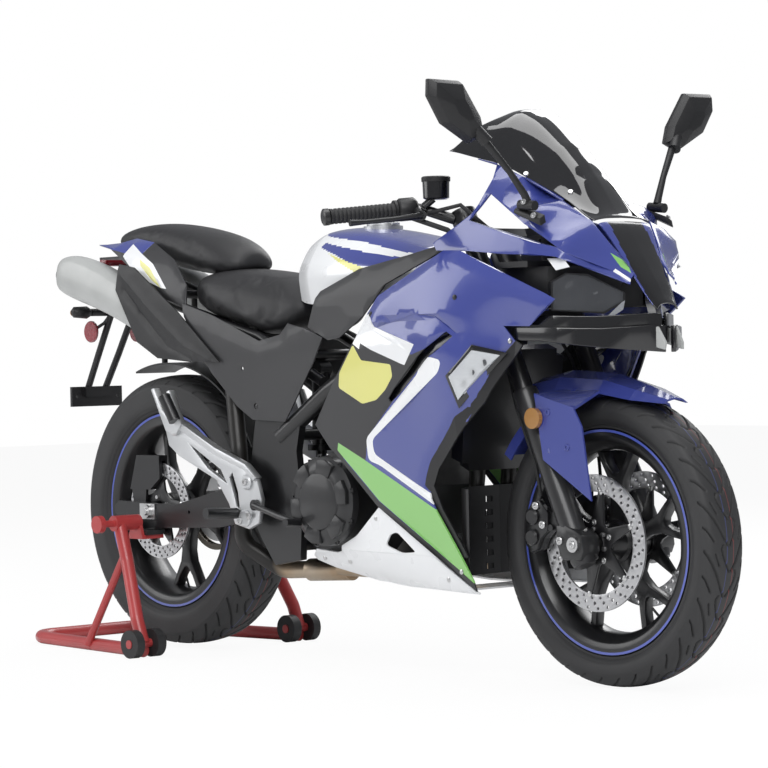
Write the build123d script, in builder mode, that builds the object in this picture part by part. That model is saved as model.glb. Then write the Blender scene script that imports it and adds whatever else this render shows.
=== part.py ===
from build123d import *
import os
from math import cos, sin, tan, radians, hypot

# Sport motorcycle of the 250 class, held upright by a rear paddock stand.
# Millimetres. Each shape is laid out by its station, the distance ahead of the rear axle,
# its distance y to the left and its height z above the floor. keep() moves it to the
# part's own frame, whose origin is the middle of the footprint at floor level.

# Chassis
wheelbase = 1400
rear_axle_x = -638
rake_deg = 25
front_axle_z = 293
rear_axle_z = 323
fork_leg_y = 108
axle_ahead_of_leg = 15
steer_axis_floor_station = wheelbase + 92
fork_offset_station = wheelbase - axle_ahead_of_leg + front_axle_z * tan(radians(rake_deg))
panel_wall = 4
screen_wall = 3
running_gap = 0.4

# Wheels
rim_radius = 227
bead_radius = 214
front_tyre_radius = 293
front_tyre_width = 112
front_rim_width = 90
rear_tyre_radius = 315
rear_tyre_width = 145
rear_rim_width = 115
rim_lip = 7
axle_radius = 9
spoke_count = 5
front_disc_radius = 138
front_disc_y = 72
rear_disc_radius = 112
rear_disc_y = 84
disc_thickness = 4
sprocket_radius = 87
chain_pitch_radius = 95
chain_y = 86

# Fork
fork_lower_radius = 26
fork_upper_radius = 20

# Mounts
spool_station = 150
spool_z = 325
spool_thread_radius = 4
spool_depth = 15
plate_hole_radius = 3
plate_hole_spacing = 120

# Paddock stand
stand_tube_radius = 15
stand_roller_radius = 32
stand_roller_station = 117
stand_arm_y = 205
stand_foot_y = 232
stand_rear_station = -402
stand_rear_y = 170


def keep(piece, name):
    """Label a finished piece and write it in the part's own frame."""
    solid = piece.part.moved(Location((rear_axle_x, 0, 0)))
    solid.label = name
    export_step(solid, f"parts/{name}.step")


def steer_station(height):
    """Station of the steering axis at a height."""
    return steer_axis_floor_station - height * tan(radians(rake_deg))


def fork_station(height):
    """Station of the fork legs' centre line at a height."""
    return fork_offset_station - height * tan(radians(rake_deg))


def inset(points, wall):
    """Points moved to their left by the wall, with both ends run on past the edges."""
    moved = []
    last = len(points) - 1
    for index, (u, v) in enumerate(points):
        before = points[max(index - 1, 0)]
        after = points[min(index + 1, last)]
        run = after[0] - before[0]
        rise = after[1] - before[1]
        length = hypot(run, rise)
        past = 2 * wall * ((index == last) - (index == 0))
        moved.append((u + (past * run - wall * rise) / length, v + (past * rise + wall * run) / length))
    return moved


def ribbon(points, wall):
    """Closed outline of a strip along points, with its wall on their left-hand side."""
    return points + inset(points, wall)[::-1]


def both_sides(half):
    """Right-hand half profile, from the middle outwards, joined to its mirror image."""
    left = [(-u, v) for u, v in half if u != 0]
    return left[::-1] + half


def lofted(sections):
    """Solid through closed outlines (y, z), each at its station."""
    with BuildPart() as piece:
        for station, outline in sections:
            with BuildSketch(Plane.YZ.offset(station)):
                with BuildLine():
                    Polyline(*outline, close=True)
                make_face()
        loft(ruled=True)
    return piece.part


def skin(sections, wall=panel_wall):
    """Thin shell through open profiles (y, z), each at its station.

    A profile that stays on one side of the middle plane is closed along that plane.
    """
    one_sided = min(y for _, points in sections for y, _ in points) > 0

    def core(points):
        """Outline of the hollow behind a profile."""
        inner = inset(points, wall)
        if not one_sided:
            return inner
        low = points[0][1] - 3 * wall
        high = points[-1][1] + 3 * wall
        return inner + [(inner[-1][0], high), (-wall, high), (-wall, low), (inner[0][0], low)]

    def block(points):
        """Outline of the whole body behind a profile."""
        return points + [(0, points[-1][1]), (0, points[0][1])] if one_sided else points

    with BuildPart() as piece:
        add(lofted([(station, block(points)) for station, points in sections]))
        add(lofted([(station, core(points)) for station, points in sections]), mode=Mode.SUBTRACT)
    return piece.part


def prism(outline, low, high):
    """Side-view outline (station, z) extruded from y = low to y = high."""
    with BuildPart() as piece:
        with BuildSketch(Plane.XZ.offset(-high)):
            with BuildLine():
                Polyline(*outline, close=True)
            make_face()
        extrude(amount=high - low)
    return piece.part


def slab(outline, low, high):
    """Plan-view outline (station, y) extruded from z = low to z = high."""
    with BuildPart() as piece:
        with BuildSketch(Plane.XY.offset(low)):
            with BuildLine():
                Polyline(*outline, close=True)
            make_face()
        extrude(amount=high - low)
    return piece.part


def drum(station, height, low, high, radius, bore=0):
    """Cylinder across the motorcycle from y = low to y = high."""
    with BuildPart() as piece:
        with BuildSketch(Plane.XZ.offset(-high)):
            with Locations((station, height)):
                Circle(radius)
                if bore:
                    Circle(bore, mode=Mode.SUBTRACT)
        extrude(amount=high - low)
    return piece.part


def turned(profile, station, height, angle=360):
    """Closed profile (y, radius) turned about a cross axis."""
    with BuildPart() as piece:
        upright = Plane(origin=(station, 0, height), x_dir=(0, 1, 0), z_dir=(1, 0, 0))
        with BuildSketch(upright):
            with BuildLine():
                Polyline(*profile, close=True)
            make_face()
        revolve(axis=Axis((station, 0, height), (0, 1, 0)), revolution_arc=angle)
    return piece.part


def rod(points, radius, bend=0, bore=0):
    """Round rod or tube along points, with its corners bent to a radius."""
    with BuildPart() as piece:
        with BuildLine() as path:
            if bend:
                FilletPolyline(*points, radius=bend)
            else:
                Polyline(*points)
        with BuildSketch(Plane(origin=path.line @ 0, z_dir=path.line % 0)):
            Circle(radius)
            if bore:
                Circle(bore, mode=Mode.SUBTRACT)
        sweep(path=path.line)
    return piece.part


def mirrored(part):
    """The same shape on the other side of the middle plane."""
    return part.mirror(Plane.XZ)


os.makedirs("parts", exist_ok=True)


# Tyres and wheels
def tyre_profile(radius, width, rim_width):
    """Half of a tyre's section on each side of the middle, bead to crown to bead."""
    half = width / 2
    seat = rim_width / 2 - rim_lip
    side = [
        (seat, bead_radius + running_gap),
        (seat, rim_radius),
        (rim_width / 2 - 1, rim_radius + 2),
        (half - 4, rim_radius + 14),
        (half, rim_radius + 32),
        (half - 3, radius - 22),
        (half * 0.78, radius - 8),
        (half * 0.42, radius - 2),
        (0, radius),
    ]
    return side + [(-u, v) for u, v in side[:-1]][::-1]


def rim_profile(width):
    """Section of a cast rim: a well between two raised flanges."""
    half = width / 2
    seat = half - rim_lip
    side = [
        (half, bead_radius - 16),
        (half, rim_radius - 1),
        (seat + running_gap, rim_radius),
        (seat + running_gap, bead_radius),
    ]
    inner = [(half - 10, bead_radius - 16), (half - 24, bead_radius - 22)]
    return side + [(-u, v) for u, v in side][::-1] + [(-u, v) for u, v in inner] + inner[::-1]


def wheel(rim_width, station, height, hub_half, hub_radius, turn):
    """Cast wheel: rim, hub and forked spokes."""
    with BuildPart() as spokes:
        with BuildSketch(Plane.XZ.offset(-11)):
            with PolarLocations(0, spoke_count, start_angle=turn):
                with BuildLine():
                    Polyline(
                        (hub_radius - 8, -15), (104, -13), (150, -33), (206, -58), (206, -38),
                        (160, -16), (136, 0),
                        (160, 16), (206, 38), (206, 58), (150, 33), (104, 13), (hub_radius - 8, 15),
                        close=True,
                    )
                make_face()
        extrude(amount=22)
    with BuildPart() as piece:
        add(turned(rim_profile(rim_width), station, height))
        add(drum(station, height, -hub_half, hub_half, hub_radius))
        add(spokes.part.moved(Location((station, 0, height))))
        add(drum(station, height, -hub_half, hub_half, axle_radius + running_gap), mode=Mode.SUBTRACT)
    return piece


with BuildPart() as front_tyre:
    add(turned(tyre_profile(front_tyre_radius, front_tyre_width, front_rim_width),
               wheelbase, front_axle_z))
keep(front_tyre, "front_tyre")

front_rim = wheel(front_rim_width, wheelbase, front_axle_z, 58, 36, 90)
keep(front_rim, "front_rim")

with BuildPart() as rear_tyre:
    add(turned(tyre_profile(rear_tyre_radius, rear_tyre_width, rear_rim_width), 0, rear_axle_z))
keep(rear_tyre, "rear_tyre")

rear_rim = wheel(rear_rim_width, 0, rear_axle_z, 68, 42, 54)
keep(rear_rim, "rear_rim")


def brake_disc(station, height, middle, radius, inner, hub_radius, hub_face, arms):
    """Floating disc: a ring, a star carrier and the boss that meets the hub."""
    low = middle - disc_thickness / 2
    with BuildPart() as star:
        with BuildSketch(Plane.XZ.offset(-(middle + disc_thickness / 2))):
            Circle(hub_radius + 14)
            with PolarLocations(0, arms, start_angle=18):
                with BuildLine():
                    Polyline((hub_radius, -18), (inner + 4, -8), (inner + 4, 8), (hub_radius, 18), close=True)
                make_face()
        extrude(amount=disc_thickness)
    with BuildPart() as piece:
        add(drum(station, height, low, low + disc_thickness, radius, inner))
        add(star.part.moved(Location((station, 0, height))))
        add(drum(station, height, hub_face, low, hub_radius))
        add(drum(station, height, hub_face - 1, middle + disc_thickness, 22), mode=Mode.SUBTRACT)
    return piece.part


with BuildPart() as front_discs:
    one_disc = brake_disc(wheelbase, front_axle_z, front_disc_y, front_disc_radius, 103, 34, 58, 5)
    add(one_disc)
    add(mirrored(one_disc))
keep(front_discs, "front_discs")

with BuildPart() as rear_disc:
    add(mirrored(brake_disc(0, rear_axle_z, rear_disc_y, rear_disc_radius, 82, 38, 68, 5)))
keep(rear_disc, "rear_disc")

with BuildPart() as rear_sprocket:
    tooth_count = 44
    with BuildSketch(Plane.XZ.offset(-(chain_y + 3))):
        Circle(sprocket_radius - 6)
        with PolarLocations(0, tooth_count):
            with BuildLine():
                Polyline((sprocket_radius - 8, -4.6), (sprocket_radius, -1.6), (sprocket_radius, 1.6),
                         (sprocket_radius - 8, 4.6), close=True)
            make_face()
        with PolarLocations(58, 5):
            Circle(13, mode=Mode.SUBTRACT)
    extrude(amount=6)
    add(drum(0, 0, 68, chain_y - 3, 40))
    add(drum(0, 0, 60, chain_y + 5, 22), mode=Mode.SUBTRACT)
    sprocket_solid = rear_sprocket.part.moved(Location((0, 0, rear_axle_z)))
with BuildPart() as sprocket:
    add(sprocket_solid)
keep(sprocket, "rear_sprocket")


# Steering head, fork and bars
head_low_z = 770
head_high_z = 885
crown_low_z = 720
crown_high_z = 900
axis_lean = (-sin(radians(rake_deg)), 0, cos(radians(rake_deg)))


def along_axis(station, y, height, distance):
    """Point reached from a place by going up the steering axis direction."""
    return (station + axis_lean[0] * distance, y, height + axis_lean[2] * distance)


def crown_plane(height):
    """Plane square to the steering axis at a height."""
    return Plane(origin=(steer_station(height), 0, height), x_dir=(cos(radians(rake_deg)), 0,
                 sin(radians(rake_deg))), z_dir=axis_lean)


leg_ahead = (fork_station(800) - steer_station(800)) * cos(radians(rake_deg))

with BuildPart() as triple_clamps:
    for height, thickness in ((crown_low_z, 26), (crown_high_z, 18)):
        with BuildSketch(crown_plane(height)):
            with BuildLine():
                Polyline((-24, -34), (leg_ahead - 26, -fork_leg_y - 8), (leg_ahead + 8, -fork_leg_y - 26),
                         (leg_ahead + 26, -fork_leg_y), (leg_ahead + 14, -40), (leg_ahead + 14, 40),
                         (leg_ahead + 26, fork_leg_y), (leg_ahead + 8, fork_leg_y + 26),
                         (leg_ahead - 26, fork_leg_y + 8), (-24, 34), close=True)
            make_face()
            with Locations((leg_ahead, -fork_leg_y), (leg_ahead, fork_leg_y)):
                Circle(fork_upper_radius + running_gap, mode=Mode.SUBTRACT)
        extrude(amount=thickness)
    add(rod([(steer_station(crown_low_z), 0, crown_low_z), (steer_station(crown_high_z), 0, crown_high_z)], 14))
keep(triple_clamps, "triple_clamps")

with BuildPart() as fork_legs:
    for side in (-1, 1):
        leg_y = side * fork_leg_y
        add(rod([(fork_station(322), leg_y, 322), (fork_station(600), leg_y, 600)], fork_lower_radius))
        add(rod([(fork_station(600), leg_y, 600), (fork_station(925), leg_y, 925)], fork_upper_radius))
        add(drum(wheelbase, front_axle_z, min(side * 88, side * 126), max(side * 88, side * 126), 24))
        add(prism([(1378, 266), (1408, 268), (1408, 318), (1390, 342), (1350, 334)], min(side * 92, side * 124),
                  max(side * 92, side * 124)))
        add(drum(wheelbase, front_axle_z, min(side * 80, side * 130), max(side * 80, side * 130),
                 axle_radius + running_gap), mode=Mode.SUBTRACT)
keep(fork_legs, "fork_legs")

with BuildPart() as front_axle:
    add(drum(wheelbase, front_axle_z, -138, 138, axle_radius))
    add(drum(wheelbase, front_axle_z, -140, -126.5, 15))
    add(drum(wheelbase, front_axle_z, 126.5, 140, 15))
    add(drum(wheelbase, front_axle_z, -86, -60, 16))
    add(drum(wheelbase, front_axle_z, 60, 86, 16))
keep(front_axle, "front_axle")

with BuildPart() as front_calipers:
    caliper_body = prism([(1250, 372), (1226, 340), (1226, 285), (1246, 268), (1268, 276), (1280, 300),
                          (1300, 318), (1300, 352), (1276, 380)], front_disc_y - 16, front_disc_y + 24)
    disc_slot = drum(wheelbase, front_axle_z, front_disc_y - 7, front_disc_y + 7, front_disc_radius + 6)
    leg_room = rod([(fork_station(250), fork_leg_y, 250), (fork_station(420), fork_leg_y, 420)],
                   fork_lower_radius + running_gap)
    with BuildPart() as one_caliper:
        add(caliper_body)
        add(disc_slot, mode=Mode.SUBTRACT)
        add(prism([(1300, 352), (1300, 318), (1362, 322), (1342, 372)], front_disc_y + 12, front_disc_y + 24))
        add(leg_room, mode=Mode.SUBTRACT)
        for bolt_station, bolt_z in ((1288, 362), (1302, 322)):
            add(drum(bolt_station, bolt_z, front_disc_y + 20, front_disc_y + 30, 7))
    add(one_caliper.part)
    add(mirrored(one_caliper.part))
keep(front_calipers, "front_calipers")

fender_base_z = front_axle_z + front_tyre_radius
fender_rows = [
    # ahead of the axle, then half width and height above the tyre of three points
    (-240, [(0, 20), (20, 14), (44, -16)]),
    (-210, [(0, 36), (34, 24), (62, -20)]),
    (-119, [(0, 52), (44, 38), (68, 4)]),
    (7, [(0, 44), (46, 32), (68, 6)]),
    (89, [(0, 20), (42, 12), (62, -8)]),
    (157, [(0, -4), (22, -8), (36, -16)]),
]
fender_sections = [(wheelbase + ahead, both_sides([(y, fender_base_z + rise) for y, rise in points]))
                   for ahead, points in fender_rows]
skirt_rows = [(-98, 8), (12, -23), (33, -58), (56, -205), (-76, -125)]
skirt_outline = [(wheelbase + ahead, fender_base_z + rise) for ahead, rise in skirt_rows]
skirt_y = fork_leg_y + fork_lower_radius + 2
hugger_gap = 15

with BuildPart() as front_fender:
    add(skin([(station, points[::-1]) for station, points in fender_sections]))
    skirt = prism(skirt_outline, skirt_y, skirt_y + panel_wall)
    bridge = lofted([
        (wheelbase + ahead, [(64, fender_base_z + inner), (skirt_y + 4, fender_base_z + outer),
                             (skirt_y + 4, fender_base_z + outer - 6), (64, fender_base_z + inner - 6)])
        for ahead, inner, outer in ((-98, 14, 6), (12, 12, -21))
    ])
    hugger_inner = front_tyre_radius + hugger_gap
    rear_hugger = turned([(-66, hugger_inner), (66, hugger_inner), (66, hugger_inner - 18), (70, hugger_inner - 18),
                          (70, hugger_inner + panel_wall), (-70, hugger_inner + panel_wall),
                          (-70, hugger_inner - 18), (-66, hugger_inner - 18)], wheelbase, front_axle_z, 46).rotate(
                              Axis((wheelbase, 0, front_axle_z), (0, 1, 0)), -56)
    with BuildPart() as skirt_boss:
        add(rod([(1345, skirt_y + 2, 480), (1312, fork_leg_y + 4, 468)], 6))
        add(rod([(fork_station(380), fork_leg_y, 380), (fork_station(580), fork_leg_y, 580)],
                fork_lower_radius + running_gap), mode=Mode.SUBTRACT)
    add(skirt_boss.part)
    add(mirrored(skirt_boss.part))
    add(skirt)
    add(mirrored(skirt))
    add(bridge)
    add(mirrored(bridge))
    add(rear_hugger)
keep(front_fender, "front_fender")

with BuildPart() as fork_reflectors:
    for side in (-1, 1):
        near = side * (skirt_y + 6)
        far = side * (skirt_y + 16)
        add(drum(wheelbase - 94, fender_base_z - 42, min(near, far), max(near, far), 21))
keep(fork_reflectors, "fork_reflectors")

hose_bend = 42
with BuildPart() as brake_hoses:
    for side in (-1, 1):
        run = [(1264, side * 88, 385), (1254, side * 92, 450), (1216, side * 104, 560), (1176, side * 96, 660),
               (1152, side * 78, 715)]
        add(rod(run, 3.5, bend=hose_bend))
print("brake hose bends, mm:", hose_bend)
keep(brake_hoses, "brake_hoses")

grip_inner = (1010, 172, 978)
grip_outer = (935, 335, 963)

with BuildPart() as handlebars:
    for side in (-1, 1):
        inner = (grip_inner[0], side * grip_inner[1], grip_inner[2])
        outer = (grip_outer[0], side * grip_outer[1], grip_outer[2])
        clamp = (fork_station(930), side * fork_leg_y, 930)
        add(rod([clamp, along_axis(clamp[0], clamp[1], clamp[2], 42)], 27, bore=fork_upper_radius + running_gap))
        add(rod([(clamp[0] - 18, side * (fork_leg_y + 20), 952), inner, outer], 11, bend=40))
keep(handlebars, "handlebars")

with BuildPart() as grips:
    for side in (-1, 1):
        start = (982, side * 232, 972.4)
        outer = (grip_outer[0], side * grip_outer[1], grip_outer[2])
        add(rod([start, outer], 17, bore=12))
        cap_start = (outer[0] - 1, outer[1] + side * 2, outer[2] - 0.2)
        cap_end = (outer[0] - 8, outer[1] + side * 16, outer[2] - 1.5)
        add(rod([cap_start, cap_end], 15))
keep(grips, "grips")

with BuildPart() as bar_controls:
    for side in (-1, 1):
        add(rod([(1008, side * 178, 977), (986, side * 226, 973)], 24, bore=12))
        lever = [(1022, side * 178, 968), (1052, side * 205, 962), (1012, side * 300, 950), (990, side * 352, 946)]
        add(rod(lever, 6, bend=25))
        add(rod([(1024, side * 190, 969), (1048, side * 198, 963)], 12))
    with Locations((1044, -156, 1016)):
        Box(56, 54, 44)
    with Locations((1044, -156, 1039)):
        Box(60, 58, 6)
    with Locations((1046, -170, 992)):
        Box(26, 26, 8)
keep(bar_controls, "bar_controls")


# Frame, engine and drive
shock_station = 486
shock_top_z = 646
shock_eye_radius = 20
down_tube_radius = 15


def down_tube(side, radius):
    """Frame tube that runs down behind the radiator."""
    return rod([(1098, side * 22, 792), (1012, side * 112, 704), (960, side * 130, 600), (900, side * 130, 480)],
               radius, bend=40)


with BuildPart() as frame:
    add(rod([(steer_station(head_low_z), 0, head_low_z), (steer_station(head_high_z), 0, head_high_z)],
            30, bore=19))
    for side in (-1, 1):
        add(rod([(1098, side * 22, 815), (930, side * 118, 740), (660, side * 128, 600), (500, side * 128, 500)],
                20, bend=60))
        add(down_tube(side, down_tube_radius))
        add(rod([(640, side * 126, 620), (420, side * 118, 720), (60, side * 72, 800), (-120, side * 62, 862)],
                12, bend=60))
        add(rod([(470, side * 126, 520), (330, side * 88, 620), (120, side * 66, 782)], 11, bend=60))
        low = min(side * 121, side * 139)
        add(prism([(422, 537), (576, 538), (560, 470), (575, 340), (566, 232), (480, 218), (437, 272),
                   (398, 330), (398, 400), (413, 493)], low, low + 18))
    add(drum(540, 504, -125, 125, 12))
    add(drum(shock_station, shock_top_z + shock_eye_radius + 12 + running_gap, -122, 122, 12))
    add(drum(540, 264, -125, 125, 14))
    add(drum(380, 728, -118, 118, 11))
    add(drum(-20, 826, -70, 70, 10))
    add(drum(425, 368, -150, 150, 12.5), mode=Mode.SUBTRACT)
keep(frame, "frame")

with BuildPart() as engine:
    add(prism([(548, 300), (600, 236), (820, 236), (880, 290), (880, 400), (830, 470), (700, 478),
               (548, 440)], -112, 112))
    add(prism([(800, 452), (880, 395), (962, 480), (1000, 560), (985, 640), (930, 672), (850, 640),
               (800, 560)], -100, 100))
    add(drum(740, 345, 110, 138, 84))
    add(drum(740, 345, 137, 146, 52))
    add(prism([(478, 352), (560, 330), (560, 425), (478, 398)], 42, 76))
    for step in range(5):
        lean = step * 17
        add(prism([(822 + lean, 512 + lean * 1.15), (905 + lean, 424 + lean * 1.15),
                   (910 + lean, 430 + lean * 1.15), (827 + lean, 518 + lean * 1.15)], -112, 112))
    add(drum(495, 375, 70, chain_y - 4, 12))
    add(drum(495, 375, chain_y - 4, chain_y + 4, 30))
keep(engine, "engine")

cover_station = 690
cover_z = 365
cover_radius = 95
with BuildPart() as clutch_cover:
    add(drum(cover_station, cover_z, -128, -112.5, cover_radius + 8))
    add(drum(cover_station, cover_z, -142, -128, cover_radius - 6))
    add(drum(cover_station, cover_z, -152, -142, 62))
    with BuildSketch(Plane.XZ.offset(142)):
        with Locations((cover_station, cover_z)):
            with PolarLocations(75, 8):
                Rectangle(22, 34)
    extrude(amount=6)
    with BuildSketch(Plane.XZ.offset(112.5)):
        with Locations((cover_station, cover_z)):
            with PolarLocations(cover_radius + 6, 8, start_angle=22):
                Circle(11)
    extrude(amount=12)
keep(clutch_cover, "clutch_cover")

with BuildPart() as radiator:
    add(prism([(1058, 446), (1084, 434), (1112, 682), (1086, 692)], -118, 118))
    add(prism([(1056, 462), (1088, 450), (1108, 668), (1080, 676)], 118, 140))
    add(prism([(1056, 462), (1088, 450), (1108, 668), (1080, 676)], -140, -118))
    add(rod([(1080, -82, 684), (1072, -82, 706)], 13))
    add(rod([(1073, -82, 702), (1071, -82, 708)], 19))
    for side in (-1, 1):
        add(rod([(1074, side * 126, 570), (930, side * 130, 576)], 7))
        add(down_tube(side, down_tube_radius + running_gap), mode=Mode.SUBTRACT)
        with BuildSketch(Plane.YZ.offset(800)):
            with Locations((side * 130, 576)):
                Circle(40)
        extrude(amount=143, mode=Mode.SUBTRACT)
keep(radiator, "radiator")

with BuildPart() as exhaust_pipes:
    for side in (-1, 1):
        add(rod([(995, side * 46, 524), (1034, side * 46, 505), (1034, side * 46, 420), (1000, side * 44, 226),
                 (860, side * 34, 216), (700, -40 + side * 20, 212), (610, -44 + side * 16, 212)], 17, bend=50))
    add(rod([(630, -44, 209), (500, -52, 203)], 25))
    add(rod([(505, -52, 204), (444, -84, 202), (378, -145, 262), (370, -145, 470), (326, -124, 630),
             (210, -124, 700), (115, -124, 727)], 19, bend=46))
    add(rod([(214, -124, 698), (172, -60, 688), (172, 60, 688), (158, 120, 702), (115, 124, 727)], 19, bend=24))
keep(exhaust_pipes, "exhaust_pipes")


def muffler_section(height, half_height, half_width):
    """Eight-sided section of an oval muffler about its own middle."""
    corner_y = half_width * 0.55
    corner_z = half_height * 0.55
    return [(half_width, height - corner_z), (half_width, height + corner_z), (corner_y, height + half_height),
            (-corner_y, height + half_height), (-half_width, height + corner_z), (-half_width, height - corner_z),
            (-corner_y, height - half_height), (corner_y, height - half_height)]


muffler_y = 124
with BuildPart() as mufflers:
    stages = [(106, 730, 22, 22), (20, 778, 50, 38), (-100, 832, 54, 42), (-240, 874, 58, 42), (-306, 880, 38, 34)]
    one_muffler = lofted([(station, [(muffler_y + y, z) for y, z in muffler_section(middle, tall, wide)])
                          for station, middle, tall, wide in stages])
    with BuildPart() as hollow_muffler:
        add(one_muffler)
        add(rod([(-310, muffler_y, 884), (-180, muffler_y, 860)], 24), mode=Mode.SUBTRACT)
    add(hollow_muffler.part)
    add(mirrored(hollow_muffler.part))
keep(mufflers, "mufflers")

shield_outline = [(-40, 838), (40, 716), (112, 678), (262, 668), (336, 666), (190, 782), (26, 888), (-36, 898)]
with BuildPart() as heat_shields:
    one_shield = skin([
        (-60, [(150, 930), (172, 880), (176, 800), (174, 700), (160, 640)][::-1]),
        (120, [(150, 930), (168, 880), (174, 800), (176, 700), (166, 640)][::-1]),
        (350, [(150, 930), (164, 880), (170, 800), (174, 700), (170, 640)][::-1]),
    ])
    with BuildPart() as cut_shield:
        add(one_shield)
        add(prism(shield_outline, 100, 220), mode=Mode.INTERSECT)
    with BuildPart() as shield_with_bosses:
        add(cut_shield.part)
        add(drum(-5, 812, 163.3, 173.5, 10))
        add(drum(125, 722, 143.6, 173.5, 10))
    add(shield_with_bosses.part)
    add(mirrored(shield_with_bosses.part))
keep(heat_shields, "heat_shields")

arm_outline = [(-131, 334), (-115, 346), (94, 339), (261, 377), (394, 424), (448, 392), (448, 345),
               (390, 313), (258, 293), (-40, 282), (-97, 300), (-131, 316)]
arm_inner_y = 97
arm_outer_y = 118
with BuildPart() as swingarm:
    add(prism(arm_outline, arm_inner_y, arm_outer_y))
    add(prism(arm_outline, -arm_outer_y, -arm_inner_y))
    add(prism([(338, 328), (402, 332), (402, 392), (338, 372)], -98, 98))
    add(drum(425, 368, 70, 120, 26))
    add(drum(425, 368, -120, -70, 26))
    add(drum(425, 368, -155, 155, 12))
    add(drum(0, rear_axle_z, -140, 140, axle_radius + running_gap), mode=Mode.SUBTRACT)
    for near in (-arm_outer_y, arm_outer_y - spool_depth):
        add(drum(spool_station, spool_z, near, near + spool_depth, spool_thread_radius), mode=Mode.SUBTRACT)
keep(swingarm, "swingarm")

with BuildPart() as rear_axle:
    add(drum(0, rear_axle_z, -134, 134, axle_radius))
    for side in (-1, 1):
        near = side * 118.5
        far = side * 130
        add(drum(0, rear_axle_z, min(near, far), max(near, far), 16))
        add(prism([(-30, 305), (26, 305), (26, 341), (-30, 341)], min(near, side * 122), max(near, side * 122)))
        inner = side * 95.5
        spacer = side * (88 if side < 0 else 91)
        add(drum(0, rear_axle_z, min(inner, spacer), max(inner, spacer), 16))
keep(rear_axle, "rear_axle")

with BuildPart() as shock:
    add(rod([(shock_station, 0, shock_top_z - 6), (482, 0, 470)], 20))
    add(rod([(482, 0, 470), (478, 0, 300)], 12))
    for turn in range(8):
        height = 330 + turn * 34
        add(rod([(479 + turn * 0.8, 0, height), (479 + turn * 0.8, 0, height + 13)], 30, bore=11))
    add(drum(shock_station, shock_top_z, -16, 16, shock_eye_radius))
    add(drum(478, 292, -16, 16, 18))
    add(rod([(478, 0, 292), (526.8, 0, 270)], 9))
keep(shock, "shock")


def chain_loop(grow, low, high):
    """Taut loop round both sprockets, grown beyond the pitch line."""
    with BuildPart() as piece:
        with BuildSketch(Plane.XZ.offset(-high)):
            with Locations((0, rear_axle_z)):
                Circle(chain_pitch_radius + grow)
            with Locations((495, 375)):
                Circle(38 + grow)
            make_hull()
        extrude(amount=high - low)
    return piece.part


chain_link_count = 64
with BuildSketch() as pitch_line:
    with Locations((0, 0)):
        Circle(chain_pitch_radius)
    with Locations((495, 375 - rear_axle_z)):
        Circle(38)
    make_hull()
pitch_wire = pitch_line.sketch.faces()[0].outer_wire()
with BuildPart() as chain:
    for low in (chain_y - 8, chain_y + 5.5):
        add(chain_loop(6.5, low, low + 2.5))
        add(chain_loop(-6.5, low - 1, low + 3.5), mode=Mode.SUBTRACT)
    spots = [pitch_wire.position_at(link / chain_link_count) for link in range(chain_link_count)]
    with BuildSketch(Plane.XZ.offset(-(chain_y + 5.5))):
        with Locations(*[(spot.X, spot.Y + rear_axle_z) for spot in spots]):
            RegularPolygon(4.6, 4)
    extrude(amount=11)
keep(chain, "chain")

with BuildPart() as rear_caliper:
    caliper_block = prism([(-96, 372), (-70, 452), (16, 452), (16, 398), (-20, 372)], -rear_disc_y - 14,
                          -rear_disc_y + 10)
    add(caliper_block)
    add(drum(0, rear_axle_z, -rear_disc_y - 5, -rear_disc_y + 5, rear_disc_radius + 5), mode=Mode.SUBTRACT)
    add(prism([(-92, 380), (-36, 380), (-40, 338), (-84, 338)], -arm_inner_y + running_gap, -arm_inner_y + 7))
keep(rear_caliper, "rear_caliper")

# Fuel tank and covers
def arched(half_width, top, shoulder, low):
    """Half profile of a tank or seat, from the middle of its top to its lower edge."""
    return [(0, top), (half_width * 0.55, top - (top - shoulder) * 0.22), (half_width * 0.86, shoulder),
            (half_width, shoulder - (shoulder - low) * 0.4), (half_width * 0.94, low)]


cap_station = 705
cap_radius = 36
cap_seat_z = 956
tank_stations = [
    # station, half width, top, shoulder, lower edge
    (508, 70, 898, 872, 830),
    (540, 104, 934, 890, 800),
    (610, 138, 955, 900, 790),
    (720, 158, 952, 900, 790),
    (840, 160, 932, 888, 800),
    (930, 148, 908, 872, 810),
    (1000, 122, 878, 852, 820),
]
with BuildPart() as fuel_tank:
    add(lofted([(station, both_sides(arched(half, top, shoulder, low)))
                for station, half, top, shoulder, low in tank_stations]))
    with BuildSketch(Plane.XY.offset(cap_seat_z - 20)):
        with Locations((cap_station, 0)):
            Circle(cap_radius + 7)
    extrude(amount=20)
keep(fuel_tank, "fuel_tank")

with BuildPart() as fuel_cap:
    with BuildSketch(Plane.XY.offset(cap_seat_z + 0.5)):
        with Locations((cap_station, 0)):
            Circle(cap_radius)
    extrude(amount=7)
    fillet(fuel_cap.faces().sort_by(Axis.Z)[-1].edges(), 3)
    add(drum(cap_station + cap_radius + 2, cap_seat_z + 4, -10, 10, 3.4))
keep(fuel_cap, "fuel_cap")

seat_stations = [
    (196, 74, 872, 858, 830),
    (263, 118, 872, 852, 816),
    (340, 124, 862, 842, 800),
    (430, 114, 824, 812, 770),
    (500, 104, 824, 808, 764),
    (556, 84, 788, 778, 752),
]
with BuildPart() as rider_seat:
    add(lofted([(station, both_sides(arched(half, top, shoulder, low)))
                for station, half, top, shoulder, low in seat_stations]))
keep(rider_seat, "rider_seat")

pillion_stations = [
    (-196, 40, 976, 966, 948),
    (-150, 74, 984, 966, 940),
    (-40, 88, 974, 956, 930),
    (80, 90, 962, 944, 916),
    (190, 84, 942, 922, 886),
    (262, 64, 914, 898, 876),
]
with BuildPart() as passenger_seat:
    add(lofted([(station, both_sides(arched(half, top, shoulder, low)))
                for station, half, top, shoulder, low in pillion_stations]))
keep(passenger_seat, "passenger_seat")

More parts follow.
